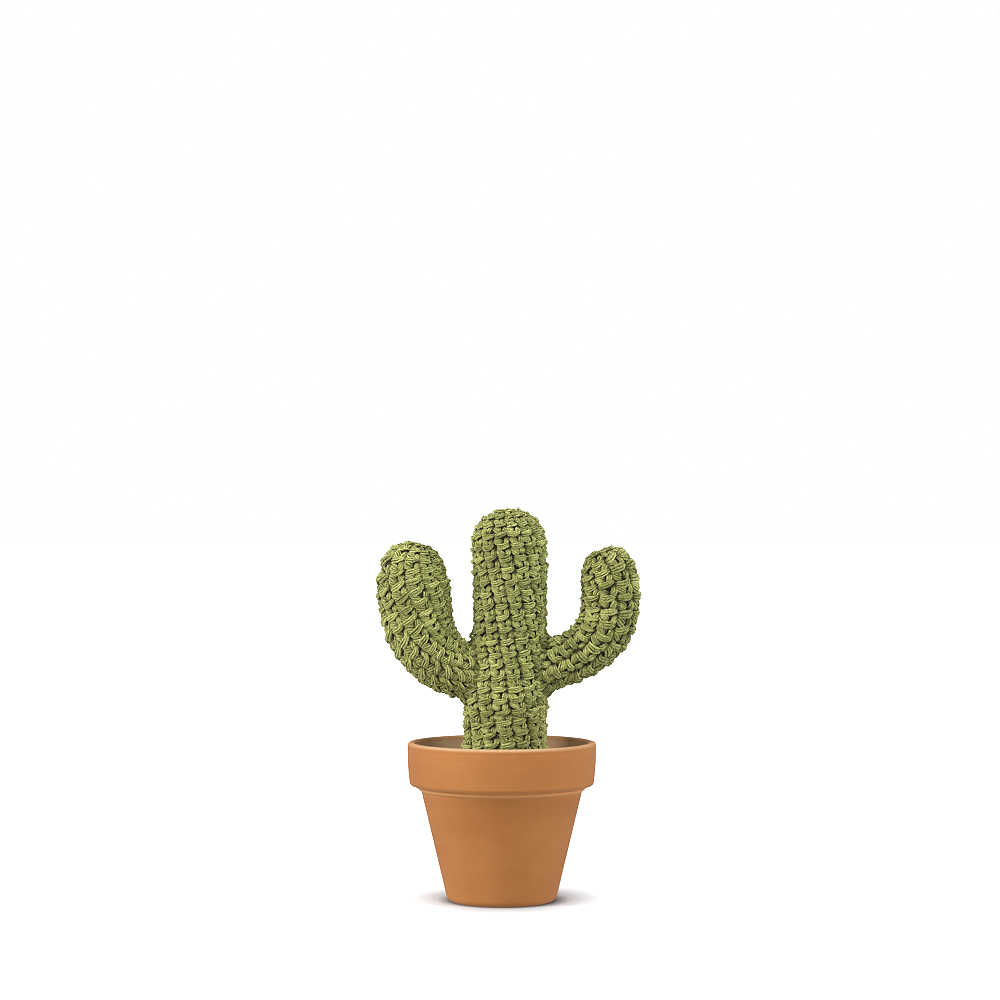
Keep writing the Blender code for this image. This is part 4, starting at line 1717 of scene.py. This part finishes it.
TRUNK = LimbForm((
    (-3.0, 34.0, 25.8), (-3.0, 84.0, 25.6), (-2.6, 95.0, 24.4), (-2.6, 104.0, 24.2), (-2.1, 117.0, 24.8),
    (-0.6, 136.0, 23.1), (0.1, 156.0, 21.9), (0.1, 200.0, 21.9), (-0.8, 228.0, 21.9),
))
LEFT_ARM = LimbForm((
    (-20.7, 131.2, 15.9), (-37.0, 138.6, 17.6), (-50.1, 153.2, 19.9), (-54.8, 173.0, 21.4),
    (-55.8, 190.0, 21.3), (-50.4, 207.5, 19.7),
))
RIGHT_ARM = LimbForm((
    (22.4, 137.0, 15.7), (34.0, 140.8, 15.0), (46.6, 148.0, 15.9), (55.9, 160.2, 16.9),
    (58.9, 175.6, 17.2), (57.5, 190.4, 17.0), (52.2, 204.8, 16.5),
))
KNOT = (
    (-20.0, -4.0, 156.5), (-22.2, -5.0, 155.4), (-23.0, -6.0, 154.2), (-22.0, -7.5, 153.0),
    (-19.5, -8.0, 152.2),
)
YARN_END = (
    (22.0, -11.5, 119.5), (23.3, -12.6, 121.0), (24.7, -13.2, 122.6), (26.0, -13.4, 124.2),
    (27.0, -12.8, 125.9),
)


def build_limbs(crochet: CrochetTool, strands: StrandTool) -> None:
    """Build the trunk and both arms.

    Args:
        crochet: the tool that lays stitches.
        strands: the tool that lays free yarn.
    """
    yarn = YarnFinish("green_cotton_yarn", Slot.YARN, 0.88).make()
    # The sewing yarn is the same yarn, painted darker as the shade that falls at the joints.
    sewing = YarnFinish(
        "green_sewing_yarn", Slot.SEWING, 0.9,
        light=srgb(160, 162, 98), middle=srgb(130, 132, 74), dark=srgb(100, 102, 56),
    ).make()
    fibre = FibreFinish("grey_fibre_filling", Slot.STUFFING, 0.95).make()
    trunk = CrochetedLimb(
        "trunk",
        TRUNK,
        Lattice(
            stitches=15,
            closing=(5, 10),
            rounds=((0, 0.7), (9, 62.72), (17, 117.44), (24, 162.94)),
            holes=((0.0, -8.56), (62.45, 6.03), (116.4, 17.98), (200.0, 34.4)),
            radius=22.5,
            tilts=((0.0, 0.0), (62.0, 0.0), (116.0, -0.073), (200.0, -0.073)),
        ),
        StitchPattern("trunk_stitch", 9.63, 11),
        seed=3,
    )
    left = CrochetedLimb(
        "left_arm",
        LEFT_ARM,
        Lattice(
            stitches=12,
            closing=(6,),
            rounds=((0, 0.2), (9, 64.08)),
            holes=((0.0, -15.49), (63.25, 2.54)),
            radius=21.0,
            tilts=((0.0, 0.0), (10.0, -0.08), (30.0, -0.273), (200.0, -0.273)),
        ),
        StitchPattern("left_stitch", 11.08, 12, runs=tuple(Run)),
        seed=5,
        host=TRUNK,
    )
    right = CrochetedLimb(
        "right_arm",
        RIGHT_ARM,
        Lattice(
            stitches=9,
            closing=(5,),
            rounds=((0, 0.9), (7, 56.1)),
            holes=((0.0, -2.8), (56.1, 5.34)),
            radius=17.3,
            tilts=((0.0, 0.0), (30.0, 0.014), (200.0, 0.014)),
        ),
        StitchPattern("right_stitch", 12.3, 13, runs=tuple(Run)),
        seed=7,
        host=TRUNK,
    )
    trunk.build_yarn(crochet, yarn, "trunk_skin")
    trunk.build_filling(fibre, float(TRUNK.along[-1]) - 41.0 * MM, "trunk_stuffing")
    for limb, seed, tail in ((left, 21, KNOT), (right, 22, YARN_END)):
        name, form = limb.name, limb.form
        limb.build_yarn(crochet, yarn, name + "_skin")
        limb.build_filling(fibre, float(form.along[-1]) - 38.0 * MM, name + "_stuffing")
        ArmSewing(name + "_sewing", form, TRUNK, seed, tail=tail).build(strands, sewing, name + "_seam")


def main() -> None:
    """Build the whole scene."""
    logging.basicConfig(level=logging.INFO, format="%(name)s: %(message)s")
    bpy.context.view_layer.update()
    crochet, strands = CrochetTool(), StrandTool()
    build_limbs(crochet, strands)
    pot = Pot()
    pot.build(TerracottaFinish("terracotta_clay", Slot.TERRACOTTA, 0.75).make())
    wadding = FibreFinish(
        "brown_wadding", Slot.PACKING, 0.95, light=srgb(150, 120, 92), dark=srgb(92, 72, 54)
    ).make()
    Packing(pot, TRUNK).build(strands, wadding)
    Studio().build()


if __name__ == "__main__":
    main()
